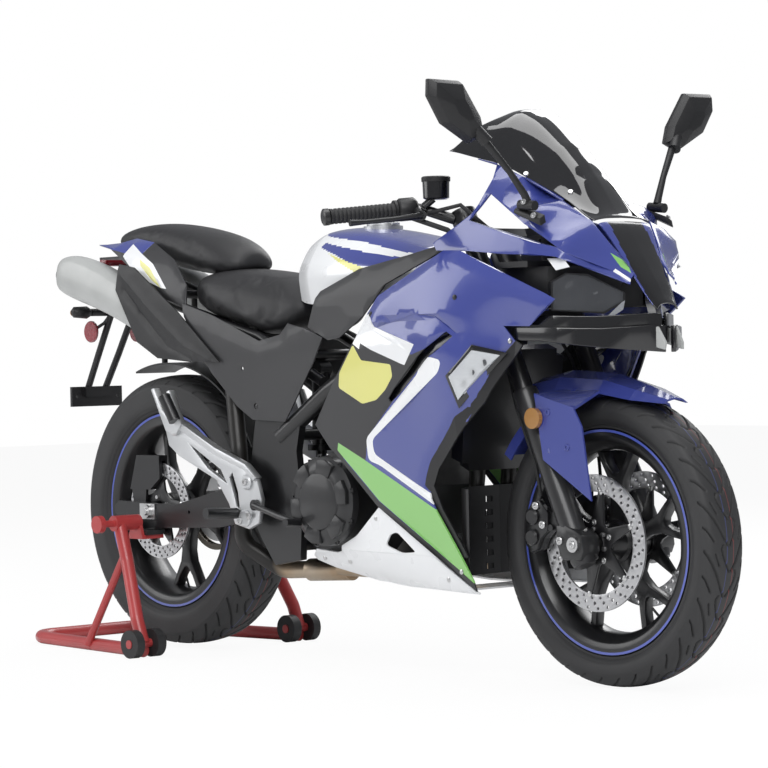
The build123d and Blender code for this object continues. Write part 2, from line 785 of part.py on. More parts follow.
tail_skin = [
    (-330, [(20, 960), (60, 950), (84, 930), (90, 900), (88, 870)]),
    (-180, [(60, 968), (98, 950), (124, 945), (136, 915), (134, 880)]),
    (0, [(90, 962), (118, 935), (140, 905), (152, 870), (150, 830)]),
    (150, [(96, 925), (126, 895), (146, 860), (156, 825), (150, 770)]),
    (300, [(96, 885), (128, 850), (150, 815), (158, 760), (150, 700)]),
    (440, [(96, 855), (128, 815), (148, 770), (156, 720), (150, 660)]),
]
with BuildPart() as tail_cowl:
    tail_side = skin([(station, points[::-1]) for station, points in tail_skin])
    tail_outline = [(-178, 943), (-110, 951), (-60, 960), (20, 948), (120, 905), (196, 842), (200, 790), (120, 812),
                    (-30, 896), (-120, 934)]
    with BuildPart() as tail_half:
        add(tail_side)
        add(prism(tail_outline, 0, 220), mode=Mode.INTERSECT)
    add(tail_half.part)
    add(mirrored(tail_half.part))
    add(slab([(-230, -58), (-200, -96), (-60, -112), (-60, 112), (-200, 96), (-230, 58)], 918, 924))
keep(tail_cowl, "tail_cowl")

cover_skin = [
    (150, [(140, 880), (164, 800), (160, 700), (150, 560), (140, 500)]),
    (300, [(138, 880), (165, 800), (163, 700), (150, 560), (142, 500)]),
    (460, [(138, 900), (168, 800), (165, 700), (152, 560), (146, 500)]),
    (640, [(146, 930), (178, 800), (176, 700), (160, 560), (150, 500)]),
    (800, [(150, 930), (186, 820), (190, 700), (170, 560), (160, 500)]),
    (960, [(152, 930), (190, 820), (196, 700), (180, 560), (170, 500)]),
    (1090, [(160, 930), (190, 820), (196, 700), (180, 560), (170, 500)]),
]
knee_outline = [(652, 739), (724, 710), (764, 714), (846, 759), (915, 824), (1080, 890), (1068, 902),
                (960, 883), (812, 859), (690, 815), (676, 790)]
lower_outline = [(190, 802), (300, 772), (462, 712), (540, 725), (570, 749), (638, 737), (704, 716),
                 (660, 660), (539, 534), (425, 538), (374, 568), (291, 645), (255, 700), (205, 770)]
with BuildPart() as knee_cover_half:
    add(skin([(station, points[::-1]) for station, points in cover_skin]))
    add(prism(knee_outline, 120, 240), mode=Mode.INTERSECT)
with BuildPart() as side_cover_half:
    add(skin([(station, points[::-1]) for station, points in cover_skin]))
    add(prism(lower_outline, 100, 240), mode=Mode.INTERSECT)
with BuildPart() as side_covers:
    for cover in (knee_cover_half.part, side_cover_half.part):
        add(cover)
        add(mirrored(cover))
keep(side_covers, "side_covers")

# Side fairings and belly pan
fairing_levels = (180, 300, 450, 600, 700, 800, 900)
fairing_widths = [
    # station, half width at each level
    (640, (124, 160, 180, 190, 196, 192, 176)),
    (850, (130, 172, 195, 212, 220, 216, 190)),
    (1000, (152, 182, 202, 218, 228, 226, 200)),
    (1150, (184, 194, 206, 230, 242, 234, 205)),
    (1300, (180, 190, 200, 205, 190, 208, 190)),
    (1430, (150, 160, 172, 180, 184, 194, 160)),
]
fairing_outline = [
    (1112, 887), (970, 821), (922, 799), (885, 758), (842, 700), (761, 617), (685, 530), (730, 482),
    (750, 468), (874, 359), (1173, 193), (1165, 215), (1067, 353), (1052, 380), (1045, 407), (1067, 448),
    (1160, 537), (1184, 539), (1218, 583), (1304, 689), (1280, 730), (1343, 728), (1416, 780), (1391, 792),
    (1160, 885),
]
with BuildPart() as side_fairing_left:
    add(skin([(station, list(zip(widths, fairing_levels))) for station, widths in fairing_widths]))
    add(prism(fairing_outline, 100, 300), mode=Mode.INTERSECT)
keep(side_fairing_left, "side_fairing_left")
with BuildPart() as side_fairing_right:
    add(mirrored(side_fairing_left.part))
keep(side_fairing_right, "side_fairing_right")

belly_stations = [
    # station, half widths at the upper edge, the middle and the keel, height of the keel
    (596, 152, 138, 106, 226),
    (656, 162, 146, 110, 219),
    (801, 176, 160, 120, 198),
    (921, 186, 172, 132, 189),
    (1173, 194, 189, 180, 187),
]
belly_outline = [(1173, 186), (921, 186), (801, 194), (656, 216), (600, 234), (620, 259), (718, 251),
                 (720, 267), (776, 290), (873, 357), (1173, 191)]
belly_hole = [(880, 277), (901, 301), (926, 306), (981, 266), (934, 262)]
with BuildPart() as belly_pan:
    add(skin([
        (station, both_sides([(0, keel), (low, keel), (middle, 262), (upper, 370)]))
        for station, upper, middle, low, keel in belly_stations
    ]))
    add(prism(belly_outline, -260, 260), mode=Mode.INTERSECT)
    add(prism(belly_hole, -260, 260), mode=Mode.SUBTRACT)
    add(slab([(560, -88), (1020, -88), (1020, 88), (560, 88)], 150, 260), mode=Mode.SUBTRACT)
    add(slab([(1092, -158), (1190, -179), (1190, 179), (1092, 158)], 150, 420), mode=Mode.SUBTRACT)
keep(belly_pan, "belly_pan")

edge_band = [(1300, 700), (1318, 690), (1232, 578), (1172, 528), (1081, 442), (1060, 406), (1081, 358),
             (1150, 262), (1112, 258), (1040, 342), (1024, 407), (1046, 458), (1146, 552), (1204, 592)]
with BuildPart() as edge_lining:
    add(skin([(station, [(y - panel_wall - running_gap, z) for y, z in zip(widths, fairing_levels)])
              for station, widths in fairing_widths]))
    add(prism(edge_band, 100, 300), mode=Mode.INTERSECT)
with BuildPart() as inner_cowl:
    add(edge_lining.part)
    add(mirrored(edge_lining.part))
    plan = [(1140, 180), (1090, 146), (1060, 100), (1047, 0), (1060, -100), (1090, -146), (1140, -180)]
    add(slab(ribbon(plan, panel_wall), 216, 400))
    for step in range(6):
        height = 226 + step * 28
        vent = [(1120, 140), (1052, 40), (1052, 20), (1120, 120)]
        add(slab(vent, height, height + 12), mode=Mode.SUBTRACT)
        add(slab([(x, -y) for x, y in vent][::-1], height, height + 12), mode=Mode.SUBTRACT)
keep(inner_cowl, "inner_cowl")

# Nose: cowl, screen, lamps and mirrors
cowl_profiles = [
    (1030, [(150, 1085), (160, 1050), (168, 1000), (174, 940), (184, 884)]),
    (1160, [(136, 1071), (152, 1050), (164, 1000), (180, 940), (196, 888)]),
    (1250, [(108, 1032), (148, 1012), (176, 970), (190, 925), (198, 876)]),
    (1345, [(90, 979), (140, 972), (182, 952), (190, 912), (192, 864)]),
    (1420, [(84, 934), (122, 922), (160, 898), (170, 878), (172, 850)]),
    (1500, [(52, 828), (62, 822), (70, 818), (73, 814), (74, 808)]),
]
cowl_outline = [(1150, 1100), (1186, 1062), (1196, 1030), (1194, 1000), (1169, 959), (1125, 935), (1060, 904),
                (1075, 888), (1173, 884), (1273, 874), (1405, 864), (1505, 806), (1505, 900), (1400, 1000)]
cowl_window = [(1210, 998), (1165, 946), (1405, 882), (1324, 936)]
with BuildPart() as cowl_half:
    add(skin([(station, points[::-1]) for station, points in cowl_profiles]))
    add(prism(cowl_outline, 0, 260), mode=Mode.INTERSECT)
    add(prism(cowl_window, 100, 260), mode=Mode.SUBTRACT)
with BuildPart() as nose_ridge:
    add(skin([
        (1425, both_sides([(0, 936), (56, 934), (72, 931)])[::-1]),
        (1470, both_sides([(0, 876), (46, 872), (56, 868)])[::-1]),
        (1512, both_sides([(0, 814), (34, 808), (44, 800)])[::-1]),
        (1542, both_sides([(0, 769), (22, 764), (30, 756)])[::-1]),
    ]))
with BuildPart() as upper_cowl:
    add(cowl_half.part)
    add(mirrored(cowl_half.part))
keep(upper_cowl, "upper_cowl")
keep(nose_ridge, "nose_ridge")

screen_profiles = [
    (1075, [(0, 1178), (60, 1172), (120, 1150), (150, 1094)]),
    (1150, [(0, 1178), (55, 1170), (110, 1135), (135, 1075)]),
    (1200, [(0, 1168), (50, 1160), (92, 1120), (112, 1057)]),
    (1290, [(0, 1098), (42, 1088), (70, 1050), (92, 1012)]),
    (1344, [(0, 1038), (40, 1028), (66, 997), (84, 984)]),
    (1424, [(0, 943), (40, 942), (64, 940), (80, 937)]),
]
with BuildPart() as windscreen:
    add(skin([(station, both_sides(points)[::-1]) for station, points in screen_profiles], screen_wall))
    add(slab([(1183, 0), (1160, 50), (1130, 90), (1075, 152), (1430, 152), (1430, -152), (1075, -152),
              (1130, -90), (1160, -50)], 900, 1200), mode=Mode.INTERSECT)
keep(windscreen, "windscreen")

lamp_rear = (1388, 172)
lamp_front = (1474, 50)
lamp_run = hypot(lamp_front[0] - lamp_rear[0], lamp_front[1] - lamp_rear[1])
lamp_depth = 34
lamp_normal = ((lamp_rear[1] - lamp_front[1]) / lamp_run, (lamp_front[0] - lamp_rear[0]) / lamp_run)
lamp_back_rear = (lamp_rear[0] - lamp_normal[0] * (lamp_depth + running_gap),
                  lamp_rear[1] - lamp_normal[1] * (lamp_depth + running_gap))
lamp_back_front = (lamp_front[0] - lamp_normal[0] * (lamp_depth + running_gap),
                   lamp_front[1] - lamp_normal[1] * (lamp_depth + running_gap))
lamp_dir = ((lamp_rear[0] - lamp_front[0]) / lamp_run, (lamp_rear[1] - lamp_front[1]) / lamp_run, 0)
with BuildPart() as lamp_left:
    face = Plane(origin=(lamp_front[0], lamp_front[1], 0), x_dir=lamp_dir, z_dir=(lamp_dir[1], -lamp_dir[0], 0))
    with BuildSketch(face):
        with BuildLine():
            Polyline((lamp_run, 758), (lamp_run, 815), (lamp_run * 0.8, 832), (lamp_run * 0.5, 829), (0, 791),
                     (0, 774), (lamp_run * 0.28, 750), close=True)
        make_face()
    extrude(amount=-lamp_depth)
with BuildPart() as daylight_strip:
    add(skin([(1300, [(188, 800), (184, 860), (168, 890)]), (1440, [(164, 800), (160, 850), (140, 890)])]))
    add(prism([(1372, 862), (1412, 862), (1432, 842), (1398, 836)], 100, 220), mode=Mode.INTERSECT)
with BuildPart() as headlights:
    for lamp in (lamp_left.part, daylight_strip.part):
        add(lamp)
        add(mirrored(lamp))
keep(headlights, "headlights")

beak_plan = [(1310, -181), (1408, -181), (1486, -96), (1530, -42), (1552, 0), (1530, 42), (1486, 96),
             (1408, 181), (1310, 181)]
beak_side = [(1310, 744), (1440, 744), (1500, 738), (1556, 722), (1566, 690), (1556, 672), (1500, 680),
             (1420, 694), (1330, 700), (1262, 688), (1306, 712)]
beak_floor = [(1310, -181), (1408, -181), (1486, -96), (1530, -42), (1552, 0), (1530, 42), (1486, 96),
              (1408, 181), (1310, 181), (1310, 150), (1400, 130), (1450, 60), (1450, -60), (1400, -130),
              (1310, -150)]
with BuildPart() as beak:
    add(slab(ribbon(beak_plan, 2 * panel_wall), 660, 760))
    add(prism(beak_side, -200, 200), mode=Mode.INTERSECT)
    add(slab(beak_floor, 701, 706))
    for side in (-1, 1):
        add(prism([(1470, 700), (1556, 702), (1540, 730), (1478, 738)], min(side * 34, side * 38),
                  max(side * 34, side * 38)))
keep(beak, "beak")

with BuildPart() as lamp_housing:
    add(slab([(1240, -152), (lamp_back_rear[0], -lamp_back_rear[1]), (lamp_back_front[0], -lamp_back_front[1]),
              lamp_back_front, lamp_back_rear, (1240, 152), (1240, 138), (1350, 138), (1424, 24), (1424, -24),
              (1350, -138), (1240, -138)], 764, 846.5))
    add(slab([(1240, -178), (1330, -178), (1330, 178), (1240, 178)], 846, 858))
    add(rod([(1140, 0, 848), (1240, 0, 851)], 14))
    add(slab([(1137.6, -6), (1143, -6), (1143, 6), (1137.6, 6)], 833, 842))
keep(lamp_housing, "lamp_housing")

with BuildPart() as instruments:
    add(slab([(1178, -72), (1178, 72), (1204, 76), (1240, 54), (1240, -54), (1204, -76)], 972, 1004))
    add(rod([(1208, 0, 974), (1208, 0, 864.6)], 12))
keep(instruments, "instruments")

with BuildPart() as fairing_signals:
    with BuildPart() as one_signal:
        add(skin([(station, [(y + 7, z) for y, z in zip(widths, fairing_levels)])
                  for station, widths in fairing_widths]))
        add(prism([(1216, 684), (1276, 672), (1176, 580), (1158, 630)], 150, 300), mode=Mode.INTERSECT)
    add(one_signal.part)
    add(mirrored(one_signal.part))
keep(fairing_signals, "fairing_signals")


mirror_station = 1296
mirror_outline = [(406, 1213), (325, 1212), (272, 1140), (262, 1105), (300, 1090), (372, 1127), (408, 1180)]
mirror_foot = (1343, 187, 975)


def mirror_head(side):
    """Faceted mirror housing, wide and flat at the rider's side."""
    outline = [(side * y, z) for y, z in mirror_outline]
    with BuildPart() as piece:
        with BuildSketch(Plane.YZ.offset(mirror_station)):
            with BuildLine():
                Polyline(*outline, close=True)
            make_face()
        extrude(amount=30, taper=38)
        with BuildSketch(Plane.YZ.offset(mirror_station - 8)):
            with BuildLine():
                Polyline(*outline, close=True)
            make_face()
        extrude(amount=8)
    return piece.part


with BuildPart() as mirrors:
    cowl_room = lofted([(station, [(y + running_gap, z + running_gap) for y, z in points[::-1]]
                         + [(0, points[0][1]), (0, points[-1][1])]) for station, points in cowl_profiles])
    for side in (-1, 1):
        with BuildPart() as one_mirror:
            add(mirror_head(side))
            add(rod([(mirror_foot[0], side * mirror_foot[1], mirror_foot[2]), (1338, side * 200, 1000),
                     (1306, side * 284, 1112)], 8, bend=20))
            add(rod([(1316, side * 272, 1092), (1306, side * 290, 1116)], 13))
            add(rod([(1320, side * 187, 968), (1366, side * 187, 968)], 10))
            add(prism([(1314, 900), (1370, 900), (1366, 968), (1320, 968)], min(side * 176, side * 190),
                      max(side * 176, side * 190)))
            add(cowl_room if side > 0 else mirrored(cowl_room), mode=Mode.SUBTRACT)
            with Locations((1343, 0, 900)):
                Box(400, 2 * mirror_foot[1] - 26, 120, mode=Mode.SUBTRACT)
        add(one_mirror.part)
keep(mirrors, "mirrors")

# Rear carrier, lamps and foot rests
with BuildPart() as plate_bracket:
    for side in (-1, 1):
        add(rod([(-160, side * 34, 905), (-215, side * 34, 830), (-300, side * 30, 690), (-352, side * 26, 606)],
                8, bend=60))
    with BuildSketch(Plane.YZ.offset(-358)):
        with Locations((0, 588)):
            Rectangle(150, 48)
            with Locations((-plate_hole_spacing / 2, 0), (plate_hole_spacing / 2, 0)):
                Circle(plate_hole_radius, mode=Mode.SUBTRACT)
    extrude(amount=8)
    add(slab([(-352, -40), (-340, -40), (-340, 40), (-352, 40)], 588, 612))
    add(rod([(-215, -34, 830), (-215, 34, 830)], 8))
    add(rod([(-255, -84, 790), (-255, 84, 790)], 9))
keep(plate_bracket, "plate_bracket")

with BuildPart() as rear_lamps:
    add(slab([(-262, -52), (-232, -60), (-232, 60), (-262, 52)], 905, 934))
    for side in (-1, 1):
        add(rod([(-255, side * 87, 790), (-262, side * 128, 790)], 15))
keep(rear_lamps, "rear_lamps")

with BuildPart() as rear_fender:
    add(turned([(-58, 340), (58, 340), (58, 344), (-58, 344)], 0, rear_axle_z, 84).rotate(
        Axis((0, 0, rear_axle_z), (0, 1, 0)), -20))
    for side in (-1, 1):
        add(rod([(-20, side * 46, 664), (-20, side * 46, 815.6)], 7))
keep(rear_fender, "rear_fender")

peg_bracket_outline = [(487, 389), (486, 341), (450, 311), (398, 305), (374, 338), (226, 492), (160, 520),
                       (199, 565), (263, 515), (438, 450)]
peg_bracket_hole = [(418, 420), (440, 372), (410, 350), (300, 455), (290, 480)]
with BuildPart() as foot_brackets:
    with BuildPart() as one_bracket:
        add(prism(peg_bracket_outline, 168, 180))
        add(prism(peg_bracket_hole, 160, 190), mode=Mode.SUBTRACT)
        add(drum(470, 365, 139.5, 169, 14))
        add(drum(430, 430, 139.5, 169, 12))
    add(one_bracket.part)
    add(mirrored(one_bracket.part))
keep(foot_brackets, "foot_brackets")

with BuildPart() as foot_controls:
    for side in (-1, 1):
        add(rod([(400, side * 182, 332), (392, side * 262, 336)], 12))
        add(rod([(205, side * 196, 536), (172, side * 200, 592)], 14))
    add(rod([(470, -189, 352), (560, -192, 330), (628, -198, 318)], 7, bend=60))
    add(rod([(628, -192, 318), (628, -232, 320)], 9))
    add(rod([(470, 188, 352), (560, 190, 340), (632, 194, 340)], 6, bend=60))
    add(rod([(632, 188, 340), (632, 228, 340)], 8))
    add(drum(470, 352, 180.5, 190, 12))
    add(drum(470, 352, -190, -180.5, 12))
keep(foot_controls, "foot_controls")

# Stands
side_stand_pivot = (520, 152, 228)
with BuildPart() as side_stand:
    add(rod([side_stand_pivot, (420, 160, 222), (352, 164, 208)], 11, bend=80))
    add(prism([(356, 196), (326, 190), (322, 200), (352, 214)], 150, 186))
    add(drum(520, 228, 141, 163, 17))
keep(side_stand, "side_stand")

with BuildPart() as paddock_stand:
    for side in (-1, 1):
        arm = [(2, side * stand_arm_y, 300), (30, side * (stand_arm_y + 2), 216), (96, side * stand_foot_y, 84),
               (stand_roller_station, side * stand_foot_y, stand_roller_radius)]
        add(rod(arm, stand_tube_radius, bend=60))
        add(rod([(24, side * (stand_arm_y + 2), 232), (-110, side * (stand_arm_y + 16), stand_tube_radius)], 9))
        add(drum(0, 300, min(side * 150, side * 222), max(side * 150, side * 222), 18))
        add(prism([(-30, 261), (26, 261), (26, 269.5), (-30, 269.5)], min(side * 97, side * 152),
                  max(side * 97, side * 152)))
        add(prism([(-30, 261), (26, 261), (14, 300), (-14, 300)], min(side * 150, side * 158),
                  max(side * 150, side * 158)))
        add(drum(0, 300, min(side * 150, side * 268), max(side * 150, side * 268), 8))
        add(drum(0, 300, min(side * 256, side * 270), max(side * 256, side * 270), 20))
        add(drum(stand_roller_station, stand_roller_radius, min(side * 188, side * 274),
                 max(side * 188, side * 274), 10))
    base = [(stand_roller_station, -stand_foot_y, stand_tube_radius),
            (stand_rear_station, -stand_rear_y, stand_tube_radius),
            (stand_rear_station, stand_rear_y, stand_tube_radius),
            (stand_roller_station, stand_foot_y, stand_tube_radius)]
    add(rod(base, stand_tube_radius, bend=70))
keep(paddock_stand, "paddock_stand")

with BuildPart() as stand_pads:
    for side in (-1, 1):
        near = side * 97
        far = side * 149
        add(prism([(-34, 270), (30, 270), (30, 281), (-34, 281)], min(near, far), max(near, far)))
        add(prism([(-34, 270), (-26, 270), (-26, 302), (-34, 302)], min(side * 121, far), max(side * 121, far)))
keep(stand_pads, "stand_pads")


def roller_pair(side):
    """Twin rollers, one on each side of a stand's foot."""
    with BuildPart() as piece:
        for low, high in ((190, 213), (251, 272)):
            near = side * low
            far = side * high
            add(drum(stand_roller_station, stand_roller_radius, min(near, far), max(near, far),
                     stand_roller_radius, 10 + running_gap))
    return piece


keep(roller_pair(-1), "stand_rollers_right")
keep(roller_pair(1), "stand_rollers_left")
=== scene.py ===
"""Looks of a sport motorcycle standing on its red rear paddock stand."""
import bmesh
import bpy
from math import atan2, ceil, cos, floor, hypot, pi, radians, sin, tan
from mathutils import Matrix, Vector
from mathutils.geometry import delaunay_2d_cdt


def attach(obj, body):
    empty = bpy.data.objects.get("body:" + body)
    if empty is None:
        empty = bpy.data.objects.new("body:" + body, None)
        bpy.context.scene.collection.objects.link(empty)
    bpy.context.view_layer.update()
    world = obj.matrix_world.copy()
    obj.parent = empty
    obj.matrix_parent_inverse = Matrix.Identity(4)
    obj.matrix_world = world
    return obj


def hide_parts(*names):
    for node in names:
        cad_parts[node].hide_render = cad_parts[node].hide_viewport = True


bl_info = {
    "name": "Sport motorcycle on a paddock stand",
    "version": (1, 0, 0),
    "blender": (4, 5, 0),
    "location": "3D View > Sidebar > Motorcycle",
    "description": "Builds the finished pieces of a sport motorcycle over its CAD frame",
    "category": "Object",
}

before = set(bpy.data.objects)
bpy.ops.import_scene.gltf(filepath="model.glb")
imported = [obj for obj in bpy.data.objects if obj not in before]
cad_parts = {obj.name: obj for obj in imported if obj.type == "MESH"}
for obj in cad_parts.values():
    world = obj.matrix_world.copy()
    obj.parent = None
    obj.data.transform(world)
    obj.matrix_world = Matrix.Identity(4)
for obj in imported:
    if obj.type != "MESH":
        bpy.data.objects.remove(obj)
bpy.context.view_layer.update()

# Stations are millimetres ahead of the rear axle, y to the left, z above the floor.
REAR_AXLE = 638
WHEELBASE = 1400
FRONT_AXLE_Z = 293
REAR_AXLE_Z = 323
FRONT_WHEEL = (WHEELBASE, FRONT_AXLE_Z)
REAR_WHEEL = (0, REAR_AXLE_Z)
FORK_TRAIL = 15
RAKE = radians(25)
SIDES = ((-1, "right"), (1, "left"))
BLUE = (0.040, 0.055, 0.255)


def at(station, y, z):
    """Place in the frame, in metres."""
    return Vector(((station - REAR_AXLE) / 1000, y / 1000, z / 1000))


def fork_station(z):
    """Station of the fork legs' centre line at a height."""
    return WHEELBASE - FORK_TRAIL + (FRONT_AXLE_Z - z) * tan(RAKE)


def on_side(side, *spots):
    """Places of (station, y, z) spots, on the left as given or mirrored to the right."""
    return [at(station, side * y, z) for station, y, z in spots]


def both_sides(spots, direction=(0, 1, 0)):
    """The same spots on both sides, each with the way it faces."""
    x, y, z = direction
    return [(place, (x, side * y, z)) for side in (-1, 1) for place in on_side(side, *spots)]


# Shader trees
class Wire:
    """An output in a shader tree. Sums on it add Math nodes."""

    def __init__(self, tree, socket):
        self.tree = tree
        self.socket = socket

    def maths(self, operation, *others):
        return self.tree.add("ShaderNodeMath", {"operation": operation}, dict(enumerate((self, *others))))

    def __add__(self, other):
        return self.maths("ADD", other)

    def __radd__(self, other):
        return self.maths("ADD", other)

    def __sub__(self, other):
        return self.maths("SUBTRACT", other)

    def __rsub__(self, other):
        return self.tree.add("ShaderNodeMath", {"operation": "SUBTRACT"}, {0: other, 1: self})

    def __mul__(self, other):
        return self.maths("MULTIPLY", other)

    def __rmul__(self, other):
        return self.maths("MULTIPLY", other)

    def __truediv__(self, other):
        return self.maths("DIVIDE", other)

    def __gt__(self, other):
        return self.maths("GREATER_THAN", other)

    def __lt__(self, other):
        return self.maths("LESS_THAN", other)

    def __abs__(self):
        return self.maths("ABSOLUTE")

    def clamped(self):
        return self.tree.add("ShaderNodeClamp", {}, {"Value": self})


class Tree:
    """A shader tree whose nodes are added one by one."""

    def __init__(self, node_tree):
        self.nodes = node_tree.nodes
        self.links = node_tree.links

    def add(self, kind, settings, inputs, output=0):
        """Add a node, set it up, and give back one of its outputs."""
        node = self.nodes.new(kind)
        for key, value in settings.items():
            setattr(node, key, value)
        for key, value in inputs.items():
            if isinstance(value, Wire):
                self.links.new(value.socket, node.inputs[key])
            else:
                node.inputs[key].default_value = value
        return Wire(self, node.outputs[output])


class Finish(Tree):
    """A material, kept under its name."""

    def __init__(self, name, colour, roughness, metallic=0.0, **sockets):
        self.material = bpy.data.materials.new(name)
        self.material.use_nodes = True
        super().__init__(self.material.node_tree)
        self.shader = self.nodes["Principled BSDF"]
        self.set("Base Color", (*colour, 1.0))
        self.set("Roughness", roughness)
        self.set("Metallic", metallic)
        for socket, value in sockets.items():
            self.set(socket.replace("_", " "), value)
        self.material.diffuse_color = (*colour, 1.0)
        FINISHES[name] = self

    def set(self, socket, value):
        """Give a socket of the shader a constant or a link."""
        if isinstance(value, Wire):
            self.links.new(value.socket, self.shader.inputs[socket])
        else:
            self.shader.inputs[socket].default_value = value

    def place(self, scale=(1, 1, 1), turn=(0, 0, 0)):
        """Object coordinates, scaled and turned."""
        coords = self.add("ShaderNodeTexCoord", {}, {}, "Object")
        return self.add("ShaderNodeMapping", {}, {"Vector": coords, "Scale": scale, "Rotation": turn})

    def along(self, axis):
        """One coordinate of a place."""
        return self.add("ShaderNodeSeparateXYZ", {}, {0: self.place()}, axis)

    def noise(self, scale, detail=3.0, stretch=(1, 1, 1)):
        """Soft noise from 0 to 1."""
        return self.add("ShaderNodeTexNoise", {}, {"Vector": self.place(stretch), "Scale": scale,
                                                   "Detail": detail, "Roughness": 0.5})

    def mix(self, factor, first, second):
        """Colour between two others."""
        colours = [value if isinstance(value, Wire) else (*value, 1.0) for value in (first, second)]
        return self.add("ShaderNodeMix", {"data_type": "RGBA"}, {0: factor, 6: colours[0], 7: colours[1]}, 2)

    def bump(self, height, strength, distance):
        """Relief on the shader's normal."""
        self.set("Normal", self.add("ShaderNodeBump", {}, {"Height": height, "Strength": strength,
                                                           "Distance": distance}))

    def cloudy(self, scale, detail, first, second):
        """Base colour that wanders between two others."""
        self.set("Base Color", self.mix(self.noise(scale, detail), first, second))


FINISHES = {}


def finish(name):
    """A finish by its name, as a material."""
    return FINISHES[name].material


def lacquer(name, colour, roughness=0.22, coat=0.8):
    """Painted and lacquered plastic with a very slight orange peel."""
    skin = Finish(name, colour, roughness, Coat_Weight=coat, Coat_Roughness=0.04)
    skin.set("Roughness", roughness + skin.noise(14.0, 2.0) * 0.06)
    skin.bump(skin.noise(420.0, 2.0), 0.05, 0.0004)


def moulded(name, colour, roughness=0.5, grain=0.12, size=1500.0):
    """Plain moulded plastic or rubber with a fine grain."""
    skin = Finish(name, colour, roughness)
    skin.cloudy(9.0, 4.0, [c * 0.75 for c in colour], [c * 1.2 for c in colour])
    skin.set("Roughness", roughness - 0.06 + skin.noise(22.0, 3.0) * 0.12)
    skin.bump(skin.noise(size, 2.0), grain, 0.0006)


def metal(name, colour, roughness=0.3, grain=0.08, stretch=(1, 1, 1), size=600.0):
    """Bare or plated metal."""
    skin = Finish(name, colour, roughness, 1.0)
    skin.cloudy(11.0, 5.0, [c * 0.8 for c in colour], colour)
    skin.set("Roughness", roughness - 0.05 + skin.noise(40.0, 4.0, stretch) * 0.16)
    skin.bump(skin.noise(size, 3.0, stretch), grain, 0.0004)
    return skin


def painted_steel(name, colour, roughness=0.35):
    """Enamel on steel: slightly uneven, worn duller in places."""
    skin = Finish(name, colour, roughness, Coat_Weight=0.3, Coat_Roughness=0.15)
    skin.cloudy(13.0, 5.0, [c * 0.78 for c in colour], [c * 1.1 for c in colour])
    skin.set("Roughness", roughness - 0.08 + skin.noise(30.0, 5.0) * 0.22)
    skin.bump(skin.noise(260.0, 3.0), 0.1, 0.0006)


